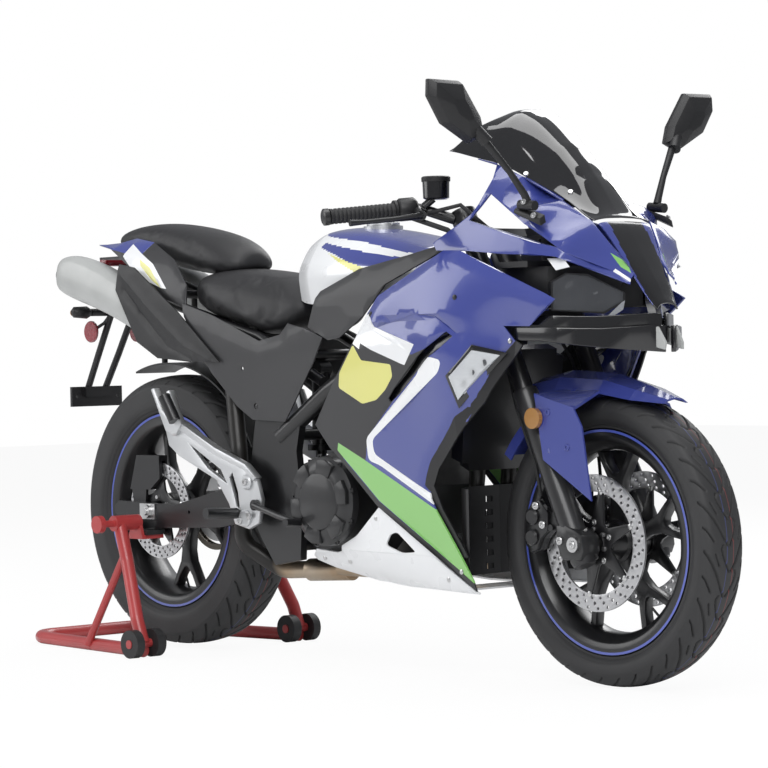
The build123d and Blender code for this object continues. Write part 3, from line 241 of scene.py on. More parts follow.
def mix_finishes(blue):
    """Every finish of the motorcycle, by name."""
    lacquer("blue", blue)
    lacquer("stripe_blue", (0.07, 0.10, 0.42), 0.3)
    lacquer("white", (0.78, 0.79, 0.80), 0.25)
    lacquer("pale_yellow", (0.66, 0.64, 0.18), 0.3)
    lacquer("green", (0.22, 0.50, 0.13), 0.3)
    lacquer("dark_grey", (0.026, 0.026, 0.028), 0.46, 0.12)
    lacquer("gloss_black", (0.005, 0.005, 0.006), 0.16, 0.5)
    moulded("black_plastic", (0.008, 0.008, 0.009), 0.48)
    moulded("grip_rubber", (0.013, 0.013, 0.014), 0.62)
    moulded("roller_rubber", (0.02, 0.02, 0.021), 0.6)
    moulded("tyre_rubber", (0.022, 0.022, 0.023), 0.62, 0.2, 700.0)
    painted_steel("black_steel", (0.006, 0.006, 0.007), 0.36)
    painted_steel("black_cast", (0.006, 0.006, 0.007), 0.33)
    painted_steel("fork_grey", (0.014, 0.014, 0.015), 0.38)
    painted_steel("engine_paint", (0.010, 0.010, 0.011), 0.46)
    painted_steel("stand_red", (0.42, 0.045, 0.045), 0.34)
    painted_steel("silver_paint", (0.42, 0.43, 0.42), 0.38)
    metal("bare_steel", (0.62, 0.62, 0.62), 0.28, 0.06, (1, 1, 1), 500.0)
    metal("disc_steel", (0.56, 0.56, 0.57), 0.34, 0.1, (1, 12, 1), 240.0)
    metal("bare_aluminium", (0.66, 0.67, 0.68), 0.42, 0.12)
    metal("chrome", (0.82, 0.82, 0.84), 0.08, 0.01)
    metal("chain_steel", (0.22, 0.20, 0.17), 0.45, 0.12)
    metal("chrome_reflector", (0.80, 0.82, 0.85), 0.16, 0.2, (1, 1, 1), 180.0)

    header = metal("header_steel", (0.42, 0.34, 0.24), 0.36)
    tint = header.mix((header.noise(7.0, 4.0) * 1.6 - 0.3).clamped(), (0.30, 0.20, 0.11), (0.52, 0.47, 0.40))
    near_floor = ((0.245 - header.along("Z")) * 60.0).clamped() * ((header.along("X") + 0.20) * 40.0).clamped()
    header.set("Base Color", header.mix(near_floor, (0.012, 0.011, 0.010), tint))
    header.set("Metallic", 0.2 + near_floor * 0.8)
    seat = Finish("seat_cover", (0.014, 0.014, 0.015), 0.5)
    cells = seat.add("ShaderNodeTexVoronoi", {"feature": "DISTANCE_TO_EDGE"},
                     {"Vector": seat.place(), "Scale": 700.0})
    seat.bump(cells.maths("MINIMUM", 0.25), 0.35, 0.0009)
    seat.set("Roughness", 0.42 + seat.noise(17.0, 4.0) * 0.16)
    seat.cloudy(6.0, 3.0, (0.010, 0.010, 0.011), (0.022, 0.022, 0.024))

    smoked = Finish("smoked_screen", (0.006, 0.006, 0.007), 0.06, Coat_Weight=1.0, Coat_Roughness=0.02,
                    Alpha=0.985)
    smoked.bump(smoked.noise(30.0, 1.0), 0.02, 0.0005)
    lens = Finish("lamp_glass", (0.05, 0.052, 0.058), 0.06, Coat_Weight=1.0, Coat_Roughness=0.02, Alpha=0.72)
    lens.cloudy(14.0, 2.0, (0.035, 0.037, 0.042), (0.075, 0.08, 0.088))
    clear = Finish("clear_lens", (0.72, 0.74, 0.76), 0.08, Coat_Weight=1.0, Coat_Roughness=0.03, Alpha=0.55)
    ribs = clear.add("ShaderNodeTexWave", {"wave_type": "BANDS", "bands_direction": "Z"},
                     {"Vector": clear.place(), "Scale": 42.0, "Distortion": 0.4})
    clear.bump(ribs, 0.25, 0.001)
    for name, colour in (("amber_lens", (0.50, 0.23, 0.04)), ("red_lens", (0.30, 0.02, 0.03))):
        lens = Finish(name, colour, 0.18, Coat_Weight=1.0, Coat_Roughness=0.05)
        prisms = lens.add("ShaderNodeTexVoronoi", {"feature": "F1", "distance": "MANHATTAN"},
                          {"Vector": lens.place((1, 1, 1), (0, radians(45), 0)), "Scale": 430.0,
                           "Randomness": 0.0})
        lens.bump(prisms, 0.5, 0.0012)
        # Painted light and shade of the prisms: each cell's colour is painted lighter at its middle and darker at
        # its edges.
        lens.set("Base Color", lens.mix(prisms, [c * 1.2 for c in colour], [c * 0.6 for c in colour]))
    Finish("mirror_glass", (0.85, 0.87, 0.9), 0.03, 1.0)


# Mesh helpers
def new_piece(name, verts, faces, finishes, body, nodes=(), smooth=30, face_finish=None):
    """Mesh object from places in metres, riding on a body and standing for CAD nodes."""
    mesh = bpy.data.meshes.new(name)
    mesh.from_pydata([tuple(v) for v in verts], [], faces)
    mesh.validate()
    names = [finishes] if isinstance(finishes, str) else list(finishes)
    for entry in names:
        mesh.materials.append(finish(entry))
    if face_finish:
        mesh.polygons.foreach_set("material_index", face_finish)
    obj = bpy.data.objects.new(name, mesh)
    bpy.context.scene.collection.objects.link(obj)
    shade(obj, smooth)
    if body:
        settle(obj, body, nodes)
    return obj


def shade(obj, angle):
    """Smooth shading with edges sharper than the angle kept hard."""
    obj.data.polygons.foreach_set("use_smooth", [True] * len(obj.data.polygons))
    obj.data.set_sharp_from_angle(angle=radians(angle))


def settle(obj, body, nodes=()):
    """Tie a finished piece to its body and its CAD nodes."""
    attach(obj, body)
    if nodes:
        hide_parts(*([nodes] if isinstance(nodes, str) else nodes))


def baked(obj, smooth=None):
    """The object with its modifiers made part of its mesh."""
    bpy.context.view_layer.update()
    evaluated = obj.evaluated_get(bpy.context.evaluated_depsgraph_get())
    mesh = bpy.data.meshes.new_from_object(evaluated)
    obj.modifiers.clear()
    old = obj.data
    obj.data = mesh
    mesh.name = old.name
    bpy.data.meshes.remove(old)
    if smooth is not None:
        shade(obj, smooth)
    return obj


def modifier(obj, kind, **settings):
    """Add a modifier with its settings."""
    mod = obj.modifiers.new(kind.title(), kind)
    for key, value in settings.items():
        setattr(mod, key, value)
    return mod


def bevelled(obj, width, angle, smooth, segments=2):
    """The object with edges sharper than an angle rounded off; the width is in millimetres."""
    modifier(obj, "BEVEL", width=width / 1000, segments=segments, limit_method="ANGLE",
             angle_limit=radians(angle))
    return baked(obj, smooth)


def thickened(obj, wall, bevel, angle, smooth):
    """A sheet given a wall in millimetres behind its face, and rounded edges."""
    modifier(obj, "SOLIDIFY", thickness=wall / 1000, offset=-1)
    return bevelled(obj, bevel, angle, smooth) if bevel else baked(obj, smooth)


def joined(name, parts, body, nodes=()):
    """One object out of several finished ones."""
    for other in bpy.context.selected_objects:
        other.select_set(False)
    for part in parts:
        part.select_set(True)
    bpy.context.view_layer.objects.active = parts[0]
    bpy.ops.object.join()
    whole = parts[0]
    whole.name = name
    whole.data.name = name
    settle(whole, body, nodes)
    return whole


def mirrored_copy(obj, name):
    """The same mesh on the other side of the middle plane."""
    twin = obj.copy()
    twin.data = obj.data.copy()
    twin.name = name
    bpy.context.scene.collection.objects.link(twin)
    twin.data.transform(Matrix.Scale(-1, 4, (0, 1, 0)))
    twin.data.flip_normals()
    return twin


def inside(point, polygon):
    """Whether a 2-D point lies in a polygon."""
    x, y = point
    hit = False
    last = polygon[-1]
    for corner in polygon:
        if (corner[1] > y) != (last[1] > y):
            if x < (last[0] - corner[0]) * (y - corner[1]) / (last[1] - corner[1]) + corner[0]:
                hit = not hit
        last = corner
    return hit


def rounded(points, radius, steps=5):
    """Closed polygon with its corners rounded."""
    result = []
    count = len(points)
    for index, corner in enumerate(points):
        here = Vector(corner)
        back = Vector(points[index - 1]) - here
        ahead = Vector(points[(index + 1) % count]) - here
        reach = min(radius, back.length * 0.45, ahead.length * 0.45)
        start = here + back.normalized() * reach
        end = here + ahead.normalized() * reach
        for step in range(steps + 1):
            t = step / steps
            result.append(tuple((1 - t) ** 2 * start + 2 * t * (1 - t) * here + t * t * end))
    return result


def triangulated(outline, cuts=(), lines=(), spacing=20.0):
    """Triangles that fill an outline, with cuts as edges and a grid of points inside."""
    points = []
    edges = []
    for loop in (outline, *cuts):
        first = len(points)
        points += [Vector(p) for p in loop]
        edges += [(first + i, first + (i + 1) % len(loop)) for i in range(len(loop))]
    for line in lines:
        first = len(points)
        points += [Vector(p) for p in line]
        edges += [(first + i, first + i + 1) for i in range(len(line) - 1)]
    low_u = min(p[0] for p in outline)
    low_v = min(p[1] for p in outline)
    across = ceil((max(p[0] for p in outline) - low_u) / spacing)
    up = ceil((max(p[1] for p in outline) - low_v) / spacing)
    for i in range(across):
        for j in range(up):
            spot = (low_u + (i + 0.5 + 0.25 * (j % 2)) * spacing, low_v + (j + 0.5) * spacing)
            if inside(spot, outline):
                points.append(Vector(spot))
    verts, _, faces, *_ = delaunay_2d_cdt(points, edges, [], 0, 0.01)
    kept = []
    for face in faces:
        middle = [sum(verts[i][k] for i in face) / len(face) for k in (0, 1)]
        if inside(middle, outline):
            kept.append((face, middle))
    return verts, kept


def faced(outline, cuts, lines, spacing, holes, place, side):
    """Places, faces turned towards a side, and middles of the faces of an outline with holes."""
    verts, faces = triangulated(outline, cuts, lines, spacing)
    used, places, kept, middles = {}, [], [], []
    for face, middle in faces:
        if any(inside(middle, hole) for hole in holes):
            continue
        corners = []
        for i in face:
            if i not in used:
                used[i] = len(places)
                places.append(place(*verts[i]))
            corners.append(used[i])
        a, b, c = (places[i] for i in corners[:3])
        if (b - a).cross(c - a).y * side < 0:
            corners.reverse()
        kept.append(corners)
        middles.append(middle)
    return places, kept, middles


def panel(name, outline, surface, finishes, wall=3.5, zones=(), holes=(), lines=(), side=-1, spacing=18.0,
          bevel=0.8, smooth=32):
    """Thin moulded panel: side-view outline, half width from surface(station, z), zones of other finishes."""
    places, faces, middles = faced(outline, [zone for _, zone in zones] + list(holes), lines, spacing, holes,
                                   lambda u, v: at(u, side * surface(u, v), v), side)
    marks = []
    for middle in middles:
        found = [entry for entry, zone in zones if inside(middle, zone)]
        marks.append(finishes.index(found[-1]) if found else 0)
    return thickened(new_piece(name, places, faces, finishes, None, face_finish=marks, smooth=smooth),
                     wall, bevel, 60, smooth)


def smooth_value(values, marks, x):
    """Smooth curve through marked values, straight beyond its ends."""
    count = len(marks)
    if x <= marks[0]:
        return values[0] + (values[1] - values[0]) * (x - marks[0]) / (marks[1] - marks[0])
    if x >= marks[-1]:
        return values[-1] + (values[-1] - values[-2]) * (x - marks[-1]) / (marks[-1] - marks[-2])
    k = max(i for i in range(count - 1) if marks[i] <= x)
    gap = marks[k + 1] - marks[k]
    t = (x - marks[k]) / gap
    slope = (values[k + 1] - values[k]) / gap
    before = (values[k + 1] - values[k - 1]) / (marks[k + 1] - marks[k - 1]) if k else slope
    after = (values[k + 2] - values[k]) / (marks[k + 2] - marks[k]) if k + 2 < count else slope
    h = t * t * (3 - 2 * t)
    return (values[k] * (1 - h) + values[k + 1] * h + gap * before * t * (1 - t) ** 2
            - gap * after * t * t * (1 - t))


def table_surface(levels, rows):
    """Half width from a table of stations and heights, as a function of station and height."""
    def surface(station, z):
        """Half width at a station and height."""
        return smooth_value([smooth_value(widths, levels, z) for _, widths in rows],
                            [mark for mark, _ in rows], station)
    return surface


def between_rows(rows, station):
    """Which row a station follows, and how far it is on the way to the next."""
    marks = [row[0] for row in rows]
    k = max([i for i in range(len(marks) - 1) if marks[i] <= station] or [0])
    return k, (station - marks[k]) / (marks[k + 1] - marks[k])


def skinned_surface(profiles):
    """Half width from side profiles (y, z), each at its station and listed bottom to top."""
    def width(points, z):
        """Half width of one profile at a height."""
        k = 0
        while k < len(points) - 2 and points[k + 1][1] < z:
            k += 1
        (y0, z0), (y1, z1) = points[k], points[k + 1]
        return y0 + (y1 - y0) * ((z - z0) / (z1 - z0))

    def surface(station, z):
        """Half width at a station and height."""
        k, t = between_rows(profiles, station)
        return width(profiles[k][1], z) * (1 - t) + width(profiles[k + 1][1], z) * t
    return surface


def loft(name, rings, finishes, smooth=40, level=0, face_finish=None):
    """Closed skin over rings of places with as many points each."""
    count = len(rings[0])
    verts = [p for ring in rings for p in ring]
    faces = []
    for r in range(len(rings) - 1):
        for i in range(count):
            j = (i + 1) % count
            faces.append((r * count + i, r * count + j, (r + 1) * count + j, (r + 1) * count + i))
    faces.append(tuple(range(count))[::-1])
    faces.append(tuple(range(len(verts) - count, len(verts))))
    obj = new_piece(name, verts, faces, finishes, None, smooth=smooth,
                    face_finish=[face_finish(f) for f in range(len(faces))] if face_finish else None)
    outward(obj)
    if level:
        modifier(obj, "SUBSURF", levels=level, render_levels=level)
        baked(obj, smooth)
    return obj


def outward(obj, merge=True):
    """Make all faces of a closed mesh point outwards, with doubled places merged."""
    work = bmesh.new()
    work.from_mesh(obj.data)
    if merge:
        bmesh.ops.remove_doubles(work, verts=work.verts, dist=1e-6)
    bmesh.ops.recalc_face_normals(work, faces=work.faces)
    work.to_mesh(obj.data)
    work.free()


def lathe(name, profile, centre, finishes, steps=96, smooth=35, marks=None):
    """Profile (y, radius) turned about a cross axis through centre (station, z)."""
    count = len(profile)
    verts = []
    for step in range(steps):
        angle = 2 * pi * step / steps
        for y, radius in profile:
            verts.append(at(centre[0] + radius * cos(angle), y, centre[1] + radius * sin(angle)))
    faces = []
    for step in range(steps):
        ahead = (step + 1) % steps
        for i in range(count):
            j = (i + 1) % count
            faces.append((step * count + i, ahead * count + i, ahead * count + j, step * count + j))
    obj = new_piece(name, verts, faces, finishes, None, smooth=smooth, face_finish=marks and marks * steps)
    outward(obj)
    return obj


def button(name, side, profile, spot, finishes, steps):
    """Turned knob, its profile (y, radius) facing a side."""
    return lathe(name, [(side * y, radius) for y, radius in profile], spot, finishes, steps)


def smoothed_path(points, per):
    """Points on a smooth curve through the given places."""
    last = len(points) - 1
    result = []
    for k in range(last):
        ends = [points[min(max(i, 0), last)] for i in range(k - 1, k + 3)]
        result += [spline(ends, step / per) for step in range(per)]
    return result + [points[last]]


def tube(name, points, radius, finishes, sides=14, smooth=50):
    """Round rod with closed ends along places in metres; radius in millimetres, or one for each place."""
    radii = radius if isinstance(radius, (list, tuple)) else [radius] * len(points)
    rings = []
    up = None
    for k, here in enumerate(points):
        ahead = (points[min(k + 1, len(points) - 1)] - points[max(k - 1, 0)]).normalized()
        if up is None:
            up = ahead.orthogonal().normalized()
        up = (up - ahead * up.dot(ahead)).normalized()
        across = ahead.cross(up)
        rings.append([here + (up * cos(a) + across * sin(a)) * radii[k] / 1000
                      for a in (2 * pi * s / sides for s in range(sides))])
    return loft(name, rings, finishes, smooth=smooth)


def box_mesh(name, low, high, finishes, bevel):
    """Bevelled box between two corners (station, y, z)."""
    corners = [at(x, y, z) for x in (low[0], high[0]) for y in (low[1], high[1]) for z in (low[2], high[2])]
    faces = [(0, 1, 3, 2), (4, 6, 7, 5), (0, 4, 5, 1), (2, 3, 7, 6), (0, 2, 6, 4), (1, 5, 7, 3)]
    obj = new_piece(name, corners, faces, finishes, None)
    outward(obj)
    return bevelled(obj, bevel, 30, 35)


def plate(name, outline, low, high, finishes, holes=(), bevel=0.8, centre=(0, 0)):
    """Flat plate cut in side view from y = low to y = high, with holes."""
    places, faces, _ = faced(outline, holes, (), 1e6, holes,
                             lambda u, v: at(centre[0] + u, low, centre[1] + v), -1)
    return thickened(new_piece(name, places, faces, finishes, None), high - low, bevel, 50, 35)


def side_plate(name, side, outline, inner, outer, finishes, holes=(), bevel=0.8):
    """Flat plate between two distances from the middle plane, on one side."""
    return plate(name, outline, *sorted((side * inner, side * outer)), finishes, holes, bevel)


def circle(radius, count=24, centre=(0, 0)):
    """Points round a circle."""
    angles = [2 * pi * i / count for i in range(count)]
    return [(centre[0] + radius * cos(a), centre[1] + radius * sin(a)) for a in angles]


def on_profiles(profiles, station, u):
    """Place (y, z) on open profiles at a station, u from 0 at their first point to 1 at their last."""
    k, t = between_rows(profiles, station)
    rows = []
    for index in range(k - 1, k + 3):
        points = profiles[min(max(index, 0), len(profiles) - 1)][1]
        spot = u * (len(points) - 1)
        i = min(int(spot), len(points) - 2)
        ends = [Vector(points[min(max(j, 0), len(points) - 1)]) for j in range(i - 1, i + 3)]
        rows.append(spline(ends, spot - i))
    return spline(rows, t)


def spline(p, t):
    """Smooth curve from p[1] to p[2]."""
    return 0.5 * (2 * p[1] + (p[2] - p[0]) * t + (2 * p[0] - 5 * p[1] + 4 * p[2] - p[3]) * t * t
                  + (3 * p[1] - p[0] - 3 * p[2] + p[3]) * t ** 3)


def hood(name, profiles, start, end, finishes, wall=3.0, rows=24, columns=10, marks=None, bevel=0.6,
         drop=0.0):
    """Shell across the middle plane over half profiles (y, z), from station start(u) to station end(u)."""
    verts = []
    for r in range(rows + 1):
        for c in range(-columns, columns + 1):
            u = abs(c) / columns
            station = start(u) + (end(u) - start(u)) * r / rows
            y, z = on_profiles(profiles, station, u)
            verts.append(at(station, y * (1 if c > 0 else -1) if c else 0.0, z - drop))
    width = 2 * columns + 1
    faces = []
    finish_of = []
    for r in range(rows):
        for c in range(width - 1):
            faces.append((r * width + c, (r + 1) * width + c, (r + 1) * width + c + 1, r * width + c + 1))
            finish_of.append(marks(abs(c + 0.5 - columns) / columns, (r + 0.5) / rows) if marks else 0)
    obj = new_piece(name, verts, faces, finishes, None, face_finish=finish_of)
    return thickened(obj, wall, bevel, 60, 40)


# Sizes shared with the CAD source
FAIRING_LEVELS = (180, 300, 450, 600, 700, 800, 900)
FAIRING_ROWS = [
    (640, (124, 160, 180, 190, 196, 192, 176)),
    (850, (130, 172, 195, 212, 220, 216, 190)),
    (1000, (152, 182, 202, 218, 228, 226, 200)),
    (1150, (184, 194, 206, 230, 242, 234, 205)),
    (1300, (180, 190, 200, 205, 190, 208, 190)),
    (1430, (150, 160, 172, 180, 184, 194, 160)),
]
FAIRING_OUTLINE = [
    (1112, 887), (970, 821), (922, 799), (885, 758), (842, 700), (761, 617), (685, 530), (730, 482),
    (750, 468), (874, 359), (1173, 193), (1165, 215), (1067, 353), (1052, 380), (1045, 407), (1067, 448),
    (1160, 537), (1184, 539), (1218, 583), (1304, 689), (1280, 730), (1343, 728), (1416, 780), (1391, 792),
    (1160, 885),
]
COVER_PROFILES = [
    (150, [(140, 500), (150, 560), (160, 700), (164, 800), (140, 880)]),
    (300, [(142, 500), (150, 560), (163, 700), (165, 800), (138, 880)]),
    (460, [(146, 500), (152, 560), (165, 700), (168, 800), (138, 900)]),
    (640, [(150, 500), (160, 560), (176, 700), (178, 800), (146, 930)]),
    (800, [(160, 500), (170, 560), (190, 700), (186, 820), (150, 930)]),
    (960, [(170, 500), (180, 560), (196, 700), (190, 820), (152, 930)]),
    (1090, [(170, 500), (180, 560), (196, 700), (190, 820), (160, 930)]),
]
KNEE_OUTLINE = [(652, 739), (724, 710), (764, 714), (846, 759), (915, 824), (1080, 890), (1068, 902),
                (960, 883), (812, 859), (690, 815), (676, 790)]
LOWER_OUTLINE = [(190, 802), (300, 772), (462, 712), (540, 725), (570, 749), (638, 737), (704, 716),
                 (660, 660), (539, 534), (425, 538), (374, 568), (291, 645), (255, 700), (205, 770)]
COWL_PROFILES = [
    (1030, [(184, 884), (174, 940), (168, 1000), (160, 1050), (150, 1085)]),
    (1160, [(196, 888), (180, 940), (164, 1000), (152, 1050), (136, 1071)]),
    (1250, [(198, 876), (190, 925), (176, 970), (148, 1012), (108, 1032)]),
    (1345, [(192, 864), (190, 912), (182, 952), (140, 972), (90, 979)]),
    (1420, [(172, 850), (170, 878), (160, 898), (122, 922), (84, 934)]),
    (1500, [(74, 808), (73, 814), (70, 818), (62, 822), (52, 828)]),
]
COWL_OUTLINE = [(1150, 1073), (1186, 1062), (1196, 1030), (1194, 1000), (1169, 959), (1125, 935), (1060, 904),
                (1075, 888), (1173, 884), (1273, 874), (1405, 864), (1505, 806), (1501, 828), (1420, 934),
                (1345, 979), (1250, 1032), (1196, 1056)]
COWL_WINDOW = [(1210, 998), (1165, 946), (1405, 882), (1324, 936)]
SCREEN_PROFILES = [
    (1075, [(0, 1178), (60, 1172), (120, 1150), (150, 1094)]),
    (1150, [(0, 1178), (55, 1170), (110, 1135), (135, 1075)]),
    (1200, [(0, 1168), (50, 1160), (92, 1120), (112, 1057)]),
    (1290, [(0, 1098), (42, 1088), (70, 1050), (92, 1012)]),
    (1344, [(0, 1038), (40, 1028), (66, 997), (84, 984)]),
    (1424, [(0, 943), (40, 942), (64, 940), (80, 937)]),
]
BELLY_ROWS = [
    (596, (106, 138, 152)),
    (656, (110, 146, 162)),
    (801, (120, 160, 176)),
    (921, (132, 172, 186)),
    (1173, (180, 189, 194)),
]
TANK_STATIONS = [
    (508, 70, 898, 872, 830),
    (540, 104, 934, 890, 800),
    (610, 138, 955, 900, 790),
    (720, 158, 952, 900, 790),
    (840, 160, 932, 888, 800),
    (930, 148, 908, 872, 810),
    (1000, 122, 878, 852, 820),
]
CAD_FINISHES = {
    "black_steel": ["frame", "radiator", "swingarm", "shock", "rear_caliper", "foot_controls",
                    "side_stand", "triple_clamps", "handlebars"],
    "engine_paint": ["engine", "clutch_cover"],
    "header_steel": ["exhaust_pipes"],
    "silver_paint": ["mufflers"],
    "black_plastic": ["heat_shields", "inner_cowl", "beak", "lamp_housing", "instruments", "mirrors",
                      "plate_bracket", "rear_fender", "bar_controls"],
    "bare_steel": ["rear_axle", "front_axle", "rear_sprocket"],
    "chain_steel": ["chain"],
    "grip_rubber": ["brake_hoses", "grips"],
    "blue": ["fuel_tank", "side_fairing_left", "side_fairing_right", "upper_cowl", "front_fender"],
    "seat_cover": ["rider_seat", "passenger_seat"],
    "dark_grey": ["tail_cowl", "side_covers"],
    "white": ["belly_pan"],
    "gloss_black": ["nose_ridge"],
    "smoked_screen": ["windscreen"],
    "lamp_glass": ["headlights"],
    "clear_lens": ["fairing_signals"],
    "red_lens": ["rear_lamps"],
    "bare_aluminium": ["foot_brackets", "fuel_cap"],
    "stand_red": ["paddock_stand"],
    "roller_rubber": ["stand_pads", "stand_rollers_right", "stand_rollers_left"],
    "fork_grey": ["fork_legs"],
    "black_cast": ["front_calipers", "front_rim", "rear_rim"],
    "amber_lens": ["fork_reflectors"],
    "tyre_rubber": ["front_tyre", "rear_tyre"],
    "disc_steel": ["front_discs", "rear_disc"],
}


class MotorcycleSizes(bpy.types.PropertyGroup):
    """Sizes and colours that a user would change."""
    blue: bpy.props.FloatVectorProperty(name="Body blue", description="Colour of the painted panels",
                                        default=BLUE, size=3, min=0, max=1, subtype="COLOR")
    tread_depth: bpy.props.FloatProperty(name="Tread depth", description="Depth of the tyre grooves",
                                         default=0.004, min=0, max=0.008, unit="LENGTH", subtype="DISTANCE")
    panel_wall: bpy.props.FloatProperty(name="Panel wall", description="Thickness of the moulded panels",
                                        default=0.0035, min=0.001, max=0.006, unit="LENGTH",
                                        subtype="DISTANCE")
    panel_bevel: bpy.props.FloatProperty(name="Panel edge",
                                         description="Width of the rounding at panel edges",
                                         default=0.0009, min=0, max=0.003, unit="LENGTH", subtype="DISTANCE")


class MOTORCYCLE_OT_finishes(bpy.types.Operator):
    """Mix every finish and put one on each CAD piece"""
    bl_idname = "motorcycle.finishes"
    bl_label = "Finishes"

    def execute(self, context):
        mix_finishes(context.scene.motorcycle.blue)
        for entry, nodes in CAD_FINISHES.items():
            for node in nodes:
                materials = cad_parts[node].data.materials
                materials.clear()
                materials.append(finish(entry))
        return {"FINISHED"}


GROOVE_EDGE = 1.4


def groove_depth(around, across, pitch, half, depth, pattern):
    """How deep the tread is cut at a place: around and across in millimetres."""
    best = 0.0
    turns = around / pitch
    for flip in (1, -1):
        shifted = turns + (0.5 if flip < 0 else 0.0)
        u = shifted - floor(shifted)
        v = across * flip / half
        for points, width in pattern:
            for wrap in (-1, 0, 1):
                for (u0, v0), (u1, v1) in zip(points, points[1:]):
                    ax, ay = (u0 + wrap - u) * pitch, (v0 - v) * half
                    bx, by = (u1 - u0) * pitch, (v1 - v0) * half
                    length = bx * bx + by * by
                    t = min(max(-(ax * bx + ay * by) / length, 0.0), 1.0)
                    d = hypot(ax + bx * t, ay + by * t)
                    edge = (width / 2 + GROOVE_EDGE / 2 - d) / GROOVE_EDGE
                    if edge > best:
                        best = edge
    return depth * min(best, 1.0)


TREAD = [
    ([(0.02, 0.10), (0.22, 0.30), (0.46, 0.50), (0.78, 0.80), (0.92, 0.97)], 4.6),
    ([(0.52, 0.02), (0.66, 0.16), (0.84, 0.30), (0.95, 0.34), (1.02, 0.28)], 4.0),
    ([(0.10, 0.62), (0.34, 0.86), (0.40, 0.96)], 3.6),
    ([(0.62, 0.42), (0.86, 0.58)], 3.0),
]


def tyre(name, radius, width, rim_width, centre, rows, depth, body, node):
    """Road tyre: grooved crown, smooth walls with a rim protector line and beads."""
    pitches, columns, per_wall = 18, 1080, 6
    half = width / 2
    seat = rim_width / 2 - 7
    crown = [Vector(p) for p in ((half - 3, radius - 22), (half * 0.78, radius - 8), (half * 0.42,
                                                                                      radius - 2),
                                 (0, radius), (-half * 0.42, radius - 2), (-half * 0.78, radius - 8),
                                 (-half + 3, radius - 22))]
    curve = smoothed_path(crown, 24)
    lengths = [0.0]
    for a, b in zip(curve, curve[1:]):
        lengths.append(lengths[-1] + (b - a).length)
    total = lengths[-1]
    tread = []
    k = 0
    for row in range(rows + 1):
        want = total * row / rows
        while k < len(lengths) - 2 and lengths[k + 1] < want:
            k += 1
        t = (want - lengths[k]) / (lengths[k + 1] - lengths[k])
        tread.append(curve[k].lerp(curve[k + 1], t))
    wall = [(half - 0.6, radius - 28), (half, 262), (half - 0.6, 252), (half - 3.5, 243), (half - 4.5, 242.4),
            (half - 5.4, 241), (half - 9, 236), (half - 10.6, 235.4), (half - 12, 234),
            (rim_width / 2 - 0.5, 229.5), (seat, 227.4), (seat, 214.4)]
    pitch = 2 * pi * radius / pitches
    per = columns // pitches
    crown_half = total / 2
    cut = [[groove_depth(pitch * c / per, total * row / rows - crown_half, pitch, crown_half, depth, TREAD)
            if 0 < row < rows else 0.0 for row in range(rows + 1)] for c in range(per)]

    def turned(y, r, angle):
        """Place at an angle round the axle."""
        return at(centre[0] + r * cos(angle), y, centre[1] + r * sin(angle))
    verts, faces, groove = [], [], []
    for c in range(columns):
        for (y, r), d in zip(tread, cut[c % per]):
            verts.append(turned(y * (1 - d * 0.002), r - d, 2 * pi * c / columns))
            groove.append(d / depth if depth else 0.0)
    for c in range(columns):
        ahead = (c + 1) % columns
        for row in range(rows):
            a = c * (rows + 1) + row
            b = ahead * (rows + 1) + row
            faces.append((a, a + 1, b + 1, b))
    coarse = columns // per_wall
    ring = len(wall)
    first_of = []
    for side in (1, -1):
        edge_row = 0 if side > 0 else rows
        first = len(verts)
        first_of.append(first)
        for c in range(coarse):
            verts += [turned(side * y, r, 2 * pi * c / coarse) for y, r in wall]
        groove += [0.0] * (coarse * ring)
        for c in range(coarse):
            ahead = (c + 1) % coarse
            for i in range(ring - 1):
                a = first + c * ring + i
                b = first + ahead * ring + i
                faces.append((a, b, b + 1, a + 1) if side > 0 else (a, a + 1, b + 1, b))
            fan = [((c * per_wall + k) % columns) * (rows + 1) + edge_row for k in range(per_wall + 1)]
            strip = fan + [first + ahead * ring, first + c * ring]
            faces.append(strip if side < 0 else strip[::-1])
    right, left = first_of
    for c in range(coarse):
        here, ahead = c * ring + ring - 1, (c + 1) % coarse * ring + ring - 1
        faces.append((right + here, right + ahead, left + ahead, left + here))
    obj = new_piece(name, verts, faces, "tyre_rubber", None, smooth=50)
    obj.data.attributes.new("groove", "FLOAT", "POINT").data.foreach_set("value", groove)
    outward(obj, False)
    settle(obj, body, node)


